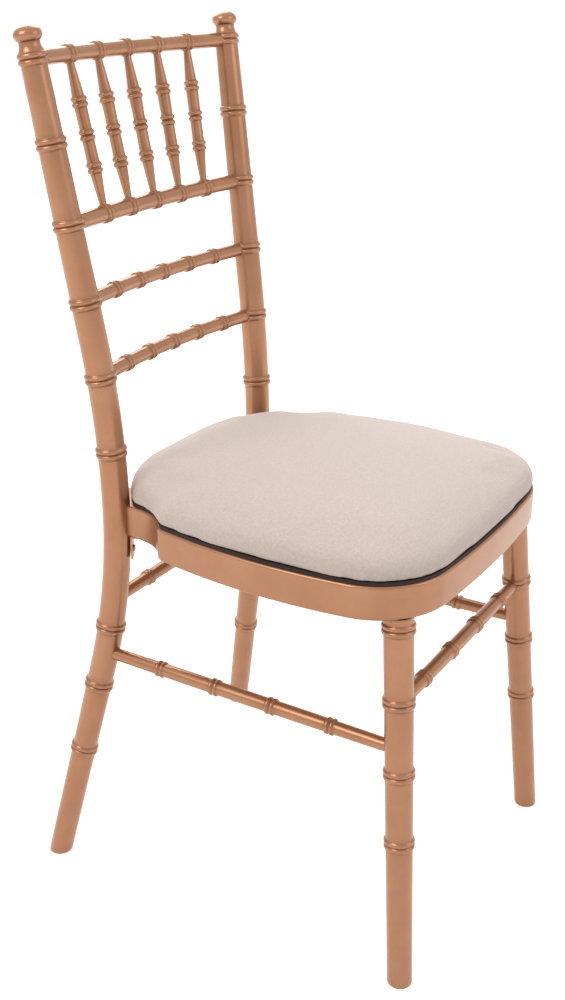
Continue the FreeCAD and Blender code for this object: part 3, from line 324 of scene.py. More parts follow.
def straight_line(start, end):
    """P(s) = start + s (end - start) / length."""
    start, end = np.asarray(start, dtype=float), np.asarray(end, dtype=float)
    length = float(np.linalg.norm(end - start))
    along = (end - start) / length

    def at(s):
        s = np.asarray(s, dtype=float)
        return start + along * s[..., None], np.broadcast_to(along, s.shape + (3,))
    at.length = length
    return at


print("lines: bent, bowed, straight")

# %% [markdown]
# ## Carrying a profile along a line
# Two directions square to the line make a small disc at every step. The skin is a grid of points, one row per
# step and one column per angle, and each end is closed with a fan to a middle point. Both directions come from
# one fixed reference, X for upright sticks and Z for level ones, so the grid never twists.

# %% Grid to mesh
def carry(line, s, radius):
    """P(s, a) = C(s) + r (cos a E1(s) + sin a E2(s)), for s and r of shape (rows, around)."""
    point, along = line(s)
    upright = abs(float(along.reshape(-1, 3)[0, 2])) > 0.7
    reference = np.array([1.0, 0.0, 0.0] if upright else [0.0, 0.0, 1.0])
    first = reference - along * (along @ reference)[..., None]
    first /= np.linalg.norm(first, axis=-1, keepdims=True)
    second = np.cross(along, first)
    angle = np.linspace(0, 2 * np.pi, s.shape[1], endpoint=False)
    return point + radius[..., None] * (np.cos(angle)[:, None] * first + np.sin(angle)[:, None] * second)


def grid_faces(rows, columns, first=0):
    """Quads of a grid whose columns close into a ring, wound so that they face outwards."""
    i = np.arange(rows - 1)[:, None] * columns + first
    j = np.arange(columns)[None, :]
    k = (j + 1) % columns
    return np.stack([i + j, i + k, i + columns + k, i + columns + j], axis=-1).reshape(-1, 4)


def new_piece(name, points, faces, material, sharp_degrees=50.0):
    """A mesh object at the origin with smooth shading, sharp only across steep edges."""
    mesh = bpy.data.meshes.new(name)
    mesh.from_pydata(points.tolist(), [], faces)
    mesh.shade_smooth()
    mesh.set_sharp_from_angle(angle=math.radians(sharp_degrees))
    mesh.materials.append(material)
    piece = bpy.data.objects.new(name, mesh)
    bpy.context.scene.collection.objects.link(piece)
    return piece


def closed_skin(name, grid, material, groove_shade=None):
    """Turn a (rows, around, 3) grid into a closed piece; the last argument, if given, is painted shade per row."""
    rows, around = grid.shape[:2]
    middles = np.stack([grid[0].mean(axis=0), grid[-1].mean(axis=0)])
    points = np.concatenate([grid.reshape(-1, 3), middles])
    ring = np.arange(around)
    following = (ring + 1) % around
    first, last = rows * around, rows * around + 1
    top = (rows - 1) * around
    start_fan = np.stack([np.full(around, first), following, ring], axis=-1)
    end_fan = np.stack([np.full(around, last), top + ring, top + following], axis=-1)
    faces = grid_faces(rows, around).tolist() + start_fan.tolist() + end_fan.tolist()
    piece = new_piece(name, points, faces, material)
    # The painted shade goes on as a point attribute that the paint reads.
    if groove_shade is not None:
        values = np.concatenate([np.repeat(groove_shade, around), [0.0, 0.0]])
        piece.data.attributes.new("groove_shade", "FLOAT", "POINT").data.foreach_set("value", values)
    return piece


print("skins are closed grids")

# %% [markdown]
# ## Turned profiles
# A lathe leaves a smooth taper with beads standing on it. Each bead is a circle half sunk in the wood, and the
# chair's rings are pairs of beads with a tight groove between them. Sprayed paint rounds the inner corners, so
# taper and beads are joined with a soft maximum instead of a hard one.

# %% Taper, beads and grooves
PAINT_FILLET = 0.16 * MM
STOUT = {"radius": 3.2 * MM, "rise": 2.0 * MM, "pitch": 5.8 * MM}
SLIM = {"radius": 2.6 * MM, "rise": 1.7 * MM, "pitch": 5.7 * MM}


def lathe_steps(low, high, rings, bead, coarse=9 * MM, fine=0.5 * MM):
    """Distances along a stick: fine steps over each ring and coarse ones between."""
    reach = bead["pitch"] / 2 + bead["radius"] + 1 * MM
    steps = [np.linspace(low, high, max(2, int((high - low) / coarse) + 1))]
    for ring in rings:
        steps.append(np.arange(max(low, ring - reach), min(high, ring + reach), fine))
    merged = np.unique(np.concatenate(steps))
    return merged[np.concatenate([[True], np.diff(merged) > fine * 0.3])]


def turned_profile(s, stations, rings, bead):
    """r(s): soft maximum of the taper T(s) and, for each bead at b, R + sqrt(q^2 - (s - b)^2).

    R is T(b) + rise - q, so the bead of radius q stands proud by its rise. The soft maximum of values v is
    k ln(sum exp(v / k)).
    """
    places, radii = np.array(stations).T
    taper = np.interp(s, places, radii)
    values = [taper]
    for ring in rings:
        for middle in (ring - bead["pitch"] / 2, ring + bead["pitch"] / 2):
            sunk = np.interp(middle, places, radii) + bead["rise"] - bead["radius"]
            height = np.sqrt(np.maximum(bead["radius"] ** 2 - (s - middle) ** 2, 0.0))
            values.append(np.where(np.abs(s - middle) < bead["radius"], sunk + height, 0.0))
    values = np.stack(values)
    highest = values.max(axis=0)
    return highest + PAINT_FILLET * np.log(np.exp((values - highest) / PAINT_FILLET).sum(axis=0))


def groove_shade_weights(s, rings, bead):
    """Painted shade weights: 0.4 in the middle of a ring's groove and 0.35 at its two feet, fading over a millimetre or
    so.
    """
    shade_weight = np.zeros_like(s)
    foot = bead["pitch"] / 2 + bead["radius"] * 0.95
    for ring in rings:
        for offset, weight in ((0.0, 0.4), (-foot, 0.35), (foot, 0.35)):
            shade_weight = np.maximum(shade_weight, weight * np.exp(-(((s - ring - offset) / (0.9 * MM)) ** 2)))
    return shade_weight


print("fillet", PAINT_FILLET / MM, "mm")

# %% [markdown]
# ## Rear posts
# Each rear post is one stick from the foot to the finial. It stands upright where the seat meets it, and was
# bent with steam so that the back rakes outward above and the leg splays below. The foot is sawn level, so its
# last rows are placed by their height above the floor instead of by their distance along the line.

# %% Level ends
def level_rows(line, line_place, heights, radii, around):
    """Distances s(a) at which a stick's side of radius r reaches a height: s = s0 + (h - z0 - r w(a)) / tz.

    z0 and tz are the height and the upward slope of the straight line at s0, and w(a) is how much of the
    radius direction at the angle a points up.
    """
    s0 = np.full((1, around), line_place)
    point, along = line(s0)
    unit = carry(line, s0, np.ones((1, around))) - point
    rise = unit[..., 2]
    heights, radii = np.asarray(heights)[:, None], np.asarray(radii)[:, None]
    return line_place + (heights - point[..., 2] - radii * rise) / along[..., 2]


FOOT_ROUND = 1.5 * MM
FOOT_TURNS = np.radians([0.0, 30.0, 60.0, 90.0])


def foot_rows(line, line_place, radius, around):
    """The rounded rim of a level foot, from the floor up: radius r - f + f sin t, height f - f cos t."""
    radii = radius - FOOT_ROUND + FOOT_ROUND * np.sin(FOOT_TURNS)
    heights = FOOT_ROUND * (1 - np.cos(FOOT_TURNS))
    rows = level_rows(line, line_place, heights, radii, around)
    return rows, np.repeat(radii[:, None], around, axis=1)


def widen(values, around):
    """A value per row made into a value per grid point."""
    return np.repeat(np.asarray(values, dtype=float)[:, None], around, axis=1)


print("feet are rounded by", FOOT_ROUND / MM, "mm")

# %% The posts' line
POST_X, POST_Y, BEND_HEIGHT = 0.1399, 0.1489, 0.435
RAKE = (math.radians(22.5), 1.195, math.radians(8.84))
KICK = (math.radians(36.6), 0.773, math.radians(14.41))


def post_place(height):
    """Distance along the post at which its line reaches a height."""
    splay, radius, angle = RAKE if height >= BEND_HEIGHT else KICK
    travel = abs(height - BEND_HEIGHT)
    arc = radius * math.sin(angle)
    bent = radius * math.asin(min(travel, arc) / radius)
    return math.copysign(bent + max(0.0, travel - arc) / math.cos(angle), height - BEND_HEIGHT)


CREST, SPINDLE_RAIL, LADDER_UPPER, LADDER_LOWER = 0.881, 0.7295, 0.6535, 0.577
POST_RING_HEIGHTS = [
    0.140, 0.223, 0.295, 0.498, LADDER_LOWER, LADDER_UPPER, SPINDLE_RAIL, (CREST + SPINDLE_RAIL) / 2, CREST,
]
POST_RADII = [(-0.02, 12.9), (0.140, 13.5), (0.223, 14.2), (0.295, 14.6), (LADDER_UPPER, 14.6), (SPINDLE_RAIL, 13.9),
              (POST_RING_HEIGHTS[7], 13.3), (CREST, 12.2), (0.92, 12.2)]
post_rings = [post_place(height) for height in POST_RING_HEIGHTS]
post_stations = [(post_place(height), radius * MM) for height, radius in POST_RADII]
print("rings along the post, mm:", np.round(np.array(post_rings) / MM).astype(int).tolist())

# %% [markdown]
# The finial is a hollow neck, a round shoulder and a low dome. Its rows are placed by angle instead of by even
# steps, because the dome turns flat towards its tip, where steps along the line would miss the curve.

# %% Finial rows
FINIAL_NECK, FINIAL_BALL, FINIAL_RISE, FINIAL_DOME = 10.1 * MM, 13.4 * MM, 20.9 * MM, 9.0 * MM
DOME_LEAN = math.radians(50)
FINIAL_HOLLOW = 0.9 * MM
FINIAL_FOOT = 12.2 * MM


def finial_rows():
    """Distances past the crest ring and radii: a hollow neck, a circle of radius q about (c, m), then a cap.

    The neck goes straight from the foot to the ball, less a hollow of 4 d t (1 - t).

    With k = (1 - sin L) / cos L, q = (dome - k ball) / (1 - k) and c = ball - q, the cap that is tangent at the
    lean L ends at m + dome on the axis.
    """
    spread = (1 - math.sin(DOME_LEAN)) / math.cos(DOME_LEAN)
    q = (FINIAL_DOME - spread * FINIAL_BALL) / (1 - spread)
    c = FINIAL_BALL - q
    tuck = math.acos((FINIAL_NECK - c) / q)
    turn = np.linspace(-tuck, DOME_LEAN, 16)
    ball = np.stack([FINIAL_RISE + q * np.sin(turn), c + q * np.cos(turn)], axis=-1)
    shoulder = ball[-1]
    cap = shoulder[1] / math.cos(DOME_LEAN)
    lean = np.linspace(DOME_LEAN, math.pi / 2, 9)[1:]
    cap_middle = shoulder[0] - shoulder[1] * math.tan(DOME_LEAN)
    dome = np.stack([cap_middle + cap * np.sin(lean), cap * np.maximum(np.cos(lean), 1e-4)], axis=-1)
    start = STOUT["pitch"] / 2 + STOUT["radius"]
    neck = np.linspace(0, 1, 8)[:-1]
    hollow = FINIAL_FOOT + (FINIAL_NECK - FINIAL_FOOT) * neck - FINIAL_HOLLOW * 4 * neck * (1 - neck)
    stem = np.stack([start + (ball[0, 0] - start) * neck, hollow], axis=-1)
    return np.concatenate([stem, ball, dome])


finial = finial_rows()
print("finial rows", len(finial), "tip", round(finial[-1, 0] / MM, 1), "mm past the crest ring")

# %% Build the posts
POST_AROUND = 44
# Painted shade at the finial's crease: the row where it sits, how wide it is and how dark.
CREASE_ROW, CREASE_WIDTH, CREASE_SHADE = 7, 1.2 * MM, 0.8


def build_post(name, side):
    """Foot rows, the turned stick, then the finial, all carried along one bent line."""
    base = np.array([side * POST_X, POST_Y, BEND_HEIGHT])
    rake, kick = ((side * splay, radius, angle) for splay, radius, angle in (RAKE, KICK))
    line = bent_line(base, rake, kick)
    foot_place = post_place(0.0)
    foot_s, foot_r = foot_rows(line, foot_place, post_stations[0][1], POST_AROUND)
    start, end = foot_place + 9 * MM, post_rings[-1] + STOUT["pitch"] / 2 + STOUT["radius"] * 0.85
    s = lathe_steps(start, end, post_rings, STOUT)
    r = turned_profile(s, post_stations, post_rings, STOUT)
    top = finial + [post_rings[-1], 0.0]
    all_s = np.concatenate([foot_s, widen(s, POST_AROUND), widen(top[:, 0], POST_AROUND)])
    all_r = np.concatenate([foot_r, widen(r, POST_AROUND), widen(top[:, 1], POST_AROUND)])
    # Painted shade: the rings' grooves, and the crease where the finial's neck meets its ball.
    ball_crease_shade = np.exp(-(((top[:, 0] - top[CREASE_ROW, 0]) / CREASE_WIDTH) ** 2)) * CREASE_SHADE
    groove_shade = np.concatenate([np.zeros(len(foot_s)), groove_shade_weights(s, post_rings, STOUT), ball_crease_shade])
    piece = closed_skin(name, carry(line, all_s, all_r), frame_paint, groove_shade)
    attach(piece, "frame")
    return piece, line


post_lines = {}
for hand, side in (("left", 1), ("right", -1)):
    post, post_lines[hand] = build_post("post_skin_" + hand, side)
    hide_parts("rear_post_" + hand)
    print(post.name, len(post.data.polygons), "faces")

# %% [markdown]
# ## Front legs
# The front legs are straight, a little thicker at the top, and lean outward. Both ends are level: the foot on
# the floor, and the shoulder against the underside of the seat frame, where a round tenon goes up into it.

# %% Build the front legs
LEG_TOP, LEG_FOOT, SEAT_BOTTOM = (0.1432, -0.1843), (0.1755, -0.2174), 0.404
LEG_RADIUS_TOP, LEG_RADIUS_FOOT = 14.9 * MM, 12.9 * MM
LEG_RING_HEIGHTS = [0.3895, 0.3135, 0.2375, 0.1615]
LEG_AROUND = 40
SHOULDER_GAP = 0.05 * MM


def build_leg(name, side):
    """A straight stick with a level foot and a level shoulder."""
    line = straight_line((side * LEG_FOOT[0], LEG_FOOT[1], 0.0), (side * LEG_TOP[0], LEG_TOP[1], SEAT_BOTTOM))
    slope = SEAT_BOTTOM / line.length
    rings = [height / slope for height in LEG_RING_HEIGHTS]
    stations = [(0.0, LEG_RADIUS_FOOT), (line.length, LEG_RADIUS_TOP)]
    foot_s, foot_r = foot_rows(line, 0.0, LEG_RADIUS_FOOT, LEG_AROUND)
    s = lathe_steps(5 * MM, line.length - 4.5 * MM, rings, STOUT)
    r = turned_profile(s, stations, rings, STOUT)
    top_s = level_rows(line, line.length, [SEAT_BOTTOM - SHOULDER_GAP], [LEG_RADIUS_TOP], LEG_AROUND)
    all_s = np.concatenate([foot_s, widen(s, LEG_AROUND), top_s])
    all_r = np.concatenate([foot_r, widen(r, LEG_AROUND), widen([LEG_RADIUS_TOP], LEG_AROUND)])
    # Painted shade: the shoulder row, up under the seat, gets a weight of 0.5, so the leg darkens towards its top.
    groove_shade = np.concatenate([np.zeros(len(foot_s)), groove_shade_weights(s, rings, STOUT), [0.5]])
    piece = closed_skin(name, carry(line, all_s, all_r), frame_paint, groove_shade)
    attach(piece, "frame")
    return piece, line


leg_lines = {}
for hand, side in (("left", 1), ("right", -1)):
    leg, leg_lines[hand] = build_leg("leg_skin_" + hand, side)
    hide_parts("front_leg_" + hand)
    print(leg.name, len(leg.data.polygons), "faces")

# %% [markdown]
# ## Rails of the back
# Four rods join the posts and bow backwards to suit the sitter. Each has five slim double rings. The spindles
# stand between the rings of the crest rail and those of the rail below it, so their ends share these lines.

# %% Build the rails
JOINT_DEPTH = 10 * MM
RAIL_AROUND = 30
RAILS = {
    "crest_rail": (CREST, 7.6 * MM, 17.0 * MM, 49.0 * MM),
    "spindle_rail": (SPINDLE_RAIL, 8.1 * MM, 9.0 * MM, 44.0 * MM),
    "ladder_rail_upper": (LADDER_UPPER, 7.3 * MM, 13.6 * MM, 44.8 * MM),
    "ladder_rail_lower": (LADDER_LOWER, 7.3 * MM, 13.6 * MM, 44.8 * MM),
}


def turned_rod(name, line, low, high, stations, rings, around):
    """A rod with slim double rings, closed at both ends."""
    s = lathe_steps(low, high, rings, SLIM)
    r = turned_profile(s, stations, rings, SLIM)
    grid = carry(line, widen(s, around), widen(r, around))
    # Painted shade in the rings' grooves goes on with the skin.
    piece = closed_skin(name, grid, frame_paint, groove_shade_weights(s, rings, SLIM))
    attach(piece, "frame")
    return piece


rail_lines = {}
for name, (height, radius, bow, pitch) in RAILS.items():
    end, _ = post_lines["left"](post_place(height))
    line = bowed_line(end, bow)
    post_radius = np.interp(post_place(height), *np.array(post_stations).T)
    reach = line.place(end[0] - post_radius + JOINT_DEPTH)
    rings = [line.place(step * pitch) for step in (-2, -1, 0, 1, 2)]
    rail = turned_rod(name + "_skin", line, -reach, reach, [(-reach, radius), (reach, radius)], rings, RAIL_AROUND)
    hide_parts(name)
    rail_lines[name] = (line, radius, rings)
    print(rail.name, "length", round(2 * reach / MM), "mm")

# %% [markdown]
# ## Spindles
# The five spindles are slim at both tips, swell to their outer rings and stay nearly even between them. Their
# tips go a few millimetres into the rails.

# %% Build the spindles
SPINDLE_TIP, SPINDLE_BODY, SPINDLE_WAIST, SPINDLE_TENON = 3.7 * MM, 6.5 * MM, 6.2 * MM, 4.5 * MM
SPINDLE_RING_SHARE = 0.2155
SPINDLE_AROUND = 26
upper_line, upper_radius, upper_rings = rail_lines["crest_rail"]
lower_line, lower_radius, lower_rings = rail_lines["spindle_rail"]
for number, (top_ring, foot_ring) in enumerate(zip(upper_rings, lower_rings), start=1):
    foot, _ = lower_line(foot_ring)
    head, _ = upper_line(top_ring)
    line = straight_line(foot, head)
    low, high = lower_radius - SPINDLE_TENON, line.length - upper_radius + SPINDLE_TENON
    middle = (low + high) / 2
    pitch = (high - low) * SPINDLE_RING_SHARE
    rings = [middle - pitch, middle, middle + pitch]
    stations = [
        (low, SPINDLE_TIP), (low + SPINDLE_TENON + 2 * MM, SPINDLE_TIP), (rings[0], SPINDLE_BODY),
        (middle, SPINDLE_WAIST), (rings[2], SPINDLE_BODY), (high - SPINDLE_TENON - 2 * MM, SPINDLE_TIP),
        (high, SPINDLE_TIP),
    ]
    spindle = turned_rod("spindle_skin_%d" % number, line, low, high, stations, rings, SPINDLE_AROUND)
    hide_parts("spindle_%d" % number)
print("five spindles,", round((high - low) / MM), "mm long")

# %% [markdown]
# ## Stretchers
# Four rods tie the legs together below the seat, one at the front, one on each side and one between the rear
# posts. They are a little thinner where they enter the legs.

# %% Build the stretchers
STRETCHER_BODY, STRETCHER_TIP = 7.5 * MM, 6.8 * MM
STRETCHER_AROUND = 28


def build_stretcher(name, start, end, start_radius, end_radius, ring_share):
    """A straight rod between two sticks' lines, set 10 mm into each, with four rings."""
    axis = straight_line(start, end)
    low, high = start_radius - JOINT_DEPTH, axis.length - end_radius + JOINT_DEPTH
    length = high - low
    rings = [(low + high) / 2 + length * ring_share * step for step in (-1.5, -0.5, 0.5, 1.5)]
    neck = JOINT_DEPTH + 6 * MM
    stations = [(low, STRETCHER_TIP), (low + neck, STRETCHER_TIP), (low + 0.3 * length, STRETCHER_BODY),
                (low + 0.7 * length, STRETCHER_BODY), (high - neck, STRETCHER_TIP), (high, STRETCHER_TIP)]
    piece = turned_rod(name + "_skin", axis, low, high, stations, rings, STRETCHER_AROUND)
    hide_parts(name)
    return piece


def on_post(hand, height):
    return post_lines[hand](post_place(height))[0]


def on_leg(hand, height):
    line = leg_lines[hand]
    return line(height * line.length / SEAT_BOTTOM)[0]


def leg_radius(height):
    return LEG_RADIUS_FOOT + (LEG_RADIUS_TOP - LEG_RADIUS_FOOT) * height / SEAT_BOTTOM


def post_radius_at(height):
    return float(np.interp(post_place(height), *np.array(post_stations).T))


SIDE_HEIGHT, FRONT_HEIGHT, REAR_HEIGHT = 0.263, 0.3105, 0.3265
for hand in ("left", "right"):
    build_stretcher("side_stretcher_" + hand, on_post(hand, SIDE_HEIGHT), on_leg(hand, SIDE_HEIGHT),
                    post_radius_at(SIDE_HEIGHT), leg_radius(SIDE_HEIGHT), 0.198)
build_stretcher("front_stretcher", on_leg("left", FRONT_HEIGHT), on_leg("right", FRONT_HEIGHT),
                leg_radius(FRONT_HEIGHT), leg_radius(FRONT_HEIGHT), 0.218)
build_stretcher("rear_stretcher", on_post("left", REAR_HEIGHT), on_post("right", REAR_HEIGHT),
                post_radius_at(REAR_HEIGHT), post_radius_at(REAR_HEIGHT), 0.198)
print("four stretchers")

# %% [markdown]
# ## The seat frame
# Front, sides and the two short necks that reach back to the posts are one bent piece. Its outline is a chain of
# tangent arcs: a shallow bow in front, a round corner, a long bow down the side, a small rear corner and a
# long hollow curve into the neck. The skin is a section carried round that outline, from one neck to the other, with
# its outer edges rounded and a ledge inside for the panel.

# %% Arcs of the outline
SEAT_FRONT, SEAT_HALF, SEAT_WIDEST = 0.221, 0.1848, 0.0625
FRONT_BOW, SIDE_BOW, FRONT_CORNER, REAR_CORNER = 1.150, 0.630, 0.080, 0.012
NECK_CURVE, NECK_HALF, NECK_START, NECK_BACK = 0.0587, 0.1411, 0.1246, 0.138
RIM, NECK_WIDTH, LEDGE = 0.034, 0.032, 0.008
NECK_ROOT, NECK_INNER_START = 0.045, 0.095

front_middle = np.array([0.0, FRONT_BOW - SEAT_FRONT])
side_middle = np.array([SEAT_HALF - SIDE_BOW, -SEAT_WIDEST])
neck_middle = np.array([NECK_HALF + NECK_CURVE, NECK_START])


def meeting(first, first_radius, second, second_radius, near):
    """Where two circles cross, nearest a point: along the centres' line by (d^2 + a^2 - b^2) / 2d, then across."""
    gap = second - first
    span = np.linalg.norm(gap)
    along = (span ** 2 + first_radius ** 2 - second_radius ** 2) / (2 * span)
    away = math.sqrt(first_radius ** 2 - along ** 2)
    axis = gap / span
    across = np.array([-axis[1], axis[0]])
    choices = [first + axis * along + across * away, first + axis * along - across * away]
    return min(choices, key=lambda point: np.linalg.norm(point - near))


corner_middle = meeting(front_middle, FRONT_BOW - FRONT_CORNER, side_middle, SIDE_BOW - FRONT_CORNER,
                        np.array([SEAT_HALF, -SEAT_FRONT]))
rear_middle = meeting(side_middle, SIDE_BOW - REAR_CORNER, neck_middle, NECK_CURVE + REAR_CORNER,
                      np.array([SEAT_HALF, 0.0]))


def arc_points(middle, start, end, count):
    """Points of the short arc from start to end about a middle: angle goes evenly from one to the other."""
    radius = np.linalg.norm(start - middle)
    first = math.atan2(*(start - middle)[::-1])
    turn = (math.atan2(*(end - middle)[::-1]) - first + math.pi) % (2 * math.pi) - math.pi
    angle = first + turn * np.linspace(0, 1, count)
    return middle + radius * np.stack([np.cos(angle), np.sin(angle)], axis=-1)


def run_points(start, end, count):
    """Points of a straight run: start + t (end - start)."""
    return start + (end - start) * np.linspace(0, 1, count)[:, None]


def toward(middle, point, distance):
    return middle + (point - middle) / np.linalg.norm(point - middle) * distance


print("corner centres, mm:", np.round(corner_middle / MM, 1), np.round(rear_middle / MM, 1))

# %% Outer and inner outlines of the left half
OUTLINE_COUNTS = (16, 22, 20, 10, 14, 8)


def outer_outline(inset):
    """Left half of the outer outline, moved in, from the front's middle to the back of the neck."""
    bow, side = FRONT_BOW - inset, SIDE_BOW - inset
    corner_front, corner_side = toward(front_middle, corner_middle, bow), toward(side_middle, corner_middle, side)
    rear_start = toward(side_middle, rear_middle, side)
    rear_end = toward(rear_middle, neck_middle, REAR_CORNER - inset)
    neck_end = neck_middle - [NECK_CURVE + inset, 0.0]
    counts = OUTLINE_COUNTS
    runs = [
        arc_points(front_middle, front_middle - [0.0, bow], corner_front, counts[0]),
        arc_points(corner_middle, corner_front, corner_side, counts[1])[1:],
        arc_points(side_middle, corner_side, rear_start, counts[2])[1:],
        arc_points(rear_middle, rear_start, rear_end, counts[3])[1:],
        arc_points(neck_middle, rear_end, neck_end, counts[4])[1:],
        run_points(neck_end, np.array([neck_end[0], NECK_BACK]), counts[5])[1:],
    ]
    return np.concatenate(runs)


def inner_outline(inset):
    """Left half of the inner outline with as many points as the outer one, so that the two pair up."""
    bow, side = FRONT_BOW - inset, SIDE_BOW - inset
    corner_front, corner_side = toward(front_middle, corner_middle, bow), toward(side_middle, corner_middle, side)
    root = np.array([side_middle[0] + math.sqrt(side ** 2 - (NECK_ROOT - side_middle[1]) ** 2), NECK_ROOT])
    neck_x = NECK_HALF - NECK_WIDTH + RIM - inset
    neck_start = np.array([neck_x, NECK_INNER_START])
    counts = OUTLINE_COUNTS
    runs = [
        arc_points(front_middle, front_middle - [0.0, bow], corner_front, counts[0]),
        arc_points(corner_middle, corner_front, corner_side, counts[1])[1:],
        arc_points(side_middle, corner_side, root, counts[2])[1:],
        run_points(root, neck_start, counts[3] + counts[4] - 1)[1:],
        run_points(neck_start, np.array([neck_x, NECK_BACK]), counts[5])[1:],
    ]
    return np.concatenate(runs)


def both_halves(half):
    """The whole outline from the right-hand end round the front to the left-hand end."""
    mirrored = half[::-1] * [-1.0, 1.0]
    return np.concatenate([mirrored[:-1], half])


outer = both_halves(outer_outline(0.0))
print("outline points:", len(outer), "width", round((outer[:, 0].max() - outer[:, 0].min()) / MM, 1), "mm")

# %% Carry the frame's section round the outline
SEAT_DEPTH, EDGE_ROUND, PANEL_LEDGE = 0.0355, 0.003, 0.0106
SEAT_TOP = SEAT_BOTTOM + SEAT_DEPTH


def inward(outline):
    """Unit directions square to an outline, pointing to its left as it is walked."""
    step = np.gradient(outline, axis=0)
    step /= np.linalg.norm(step, axis=1, keepdims=True)
    return np.stack([-step[:, 1], step[:, 0]], axis=-1)


def seat_frame_grid():
    """Section points in order round the rim: rounded outer edges, top, ledge, inner wall, underside.

    A rounded edge of radius f is the point moved inwards by f (1 - sin t) and down by f (1 - cos t).
    """
    inner = both_halves(inner_outline(RIM))
    ledge = both_halves(inner_outline(RIM - LEDGE))
    into = inward(outer)
    turn = np.linspace(0, math.pi / 2, 6)
    rows = []
    for t in turn[::-1]:
        rows.append((outer + into * EDGE_ROUND * (1 - math.sin(t)), SEAT_BOTTOM + EDGE_ROUND * (1 - math.cos(t))))
    rows = rows[::-1]
    for t in turn[::-1]:
        rows.append((outer + into * EDGE_ROUND * (1 - math.sin(t)), SEAT_TOP - EDGE_ROUND * (1 - math.cos(t))))
    rows.append((ledge, SEAT_TOP))
    rows.append((ledge, SEAT_TOP - PANEL_LEDGE))
    rows.append((inner, SEAT_TOP - PANEL_LEDGE))
    rows.append((inner, SEAT_BOTTOM))
    rings = [np.column_stack([plan, np.full(len(plan), height)]) for plan, height in rows]
    return np.stack(rings, axis=1)


def open_skin(name, grid, material):
    """A grid whose columns close into a ring, with a flat many-sided face over each end."""
    rows, around = grid.shape[:2]
    ends = [list(range(around))[::-1], [(rows - 1) * around + j for j in range(around)]]
    faces = grid_faces(rows, around).tolist() + ends
    return new_piece(name, grid.reshape(-1, 3), faces, material, sharp_degrees=40.0)


seat_grid = seat_frame_grid()
seat_frame = open_skin("seat_frame_skin", seat_grid, frame_paint)
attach(seat_frame, "frame")
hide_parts("seat_hoop")
print(seat_frame.name, len(seat_frame.data.polygons), "faces")

# %% [markdown]
# ## Ivory fabric
# The pad's cover is a fine suede-like weave. At arm's length it reads as an even ivory with a soft mottle; close
# up, two sets of threads cross about every half millimetre. The threads only raise and lower the surface a
# little, and a sheen brightens the cloth where it turns away.

# %% Weave
IVORY = (0.610, 0.515, 0.460, 1)
IVORY_SHADE = (0.520, 0.430, 0.382, 1)
THREAD = 0.00062


def ivory_weave(name):
    """Crossed threads from two wave textures, a slub noise, and a slow mottle of colour."""
    material, tree, shader = new_material(name)
    waves = []
    for direction in ("X", "Y"):
        wave = add_node(tree, "ShaderNodeTexWave", bands_direction=direction, Scale=1 / (THREAD * 20))
        wave.inputs["Distortion"].default_value = 1.2
        wave.inputs["Detail"].default_value = 1.0
        waves.append(wave)
    nap = add_node(tree, "ShaderNodeTexNoise", Scale=900.0, Detail=3.0, Roughness=0.6)
    mottle = add_node(tree, "ShaderNodeTexNoise", Scale=380.0, Detail=5.0, Roughness=0.65)
    object_textures(tree, *waves, nap, mottle)
    threads = add_node(tree, "ShaderNodeMath", operation="MULTIPLY")
    tree.links.new(waves[0].outputs["Fac"], threads.inputs[0])
    tree.links.new(waves[1].outputs["Fac"], threads.inputs[1])
    height = add_node(tree, "ShaderNodeMath", operation="ADD")
    tree.links.new(threads.outputs[0], height.inputs[0])
    tree.links.new(nap.outputs["Fac"], height.inputs[1])
    tone = blend(tree, remap(tree, mottle.outputs["Fac"], 0.3, 0.7, 0.0, 1.0), IVORY_SHADE, IVORY)
    tree.links.new(tone, shader.inputs["Base Color"])
    relief(tree, shader, height.outputs[0], 0.35, 0.0004)
    shader.inputs["Roughness"].default_value = 0.88
    shader.inputs["Sheen Weight"].default_value = 0.25
    shader.inputs["Sheen Roughness"].default_value = 0.5
    return material


pad_fabric = ivory_weave("pad_fabric")
print("weave:", pad_fabric.name)

# %% [markdown]
# ## The cushion
# The pad follows the seat frame's outline, rounds off beside each post and runs to a rear edge between them. The
# cover is pulled down over foam and stapled under the board, so the sides tuck in and the top is a low dome.
# A rough cushion is made first, a little smaller than the real one. Blender's cloth then blows it up like a
# balloon, which rounds the corners and pulls the sides in between them as stuffing does. How far a point may move
# is capped, and the underside stays flat on its board.

# %% Outline of the pad
PAD_INSET, PAD_BASE = 0.002, 0.4430
PAD_ROUND, REAR_ROUND, REAR_EDGE, POST_CLEAR = 0.020, 0.138, 0.172, 0.0024
POST_AT_SEAT = 14.6 * MM


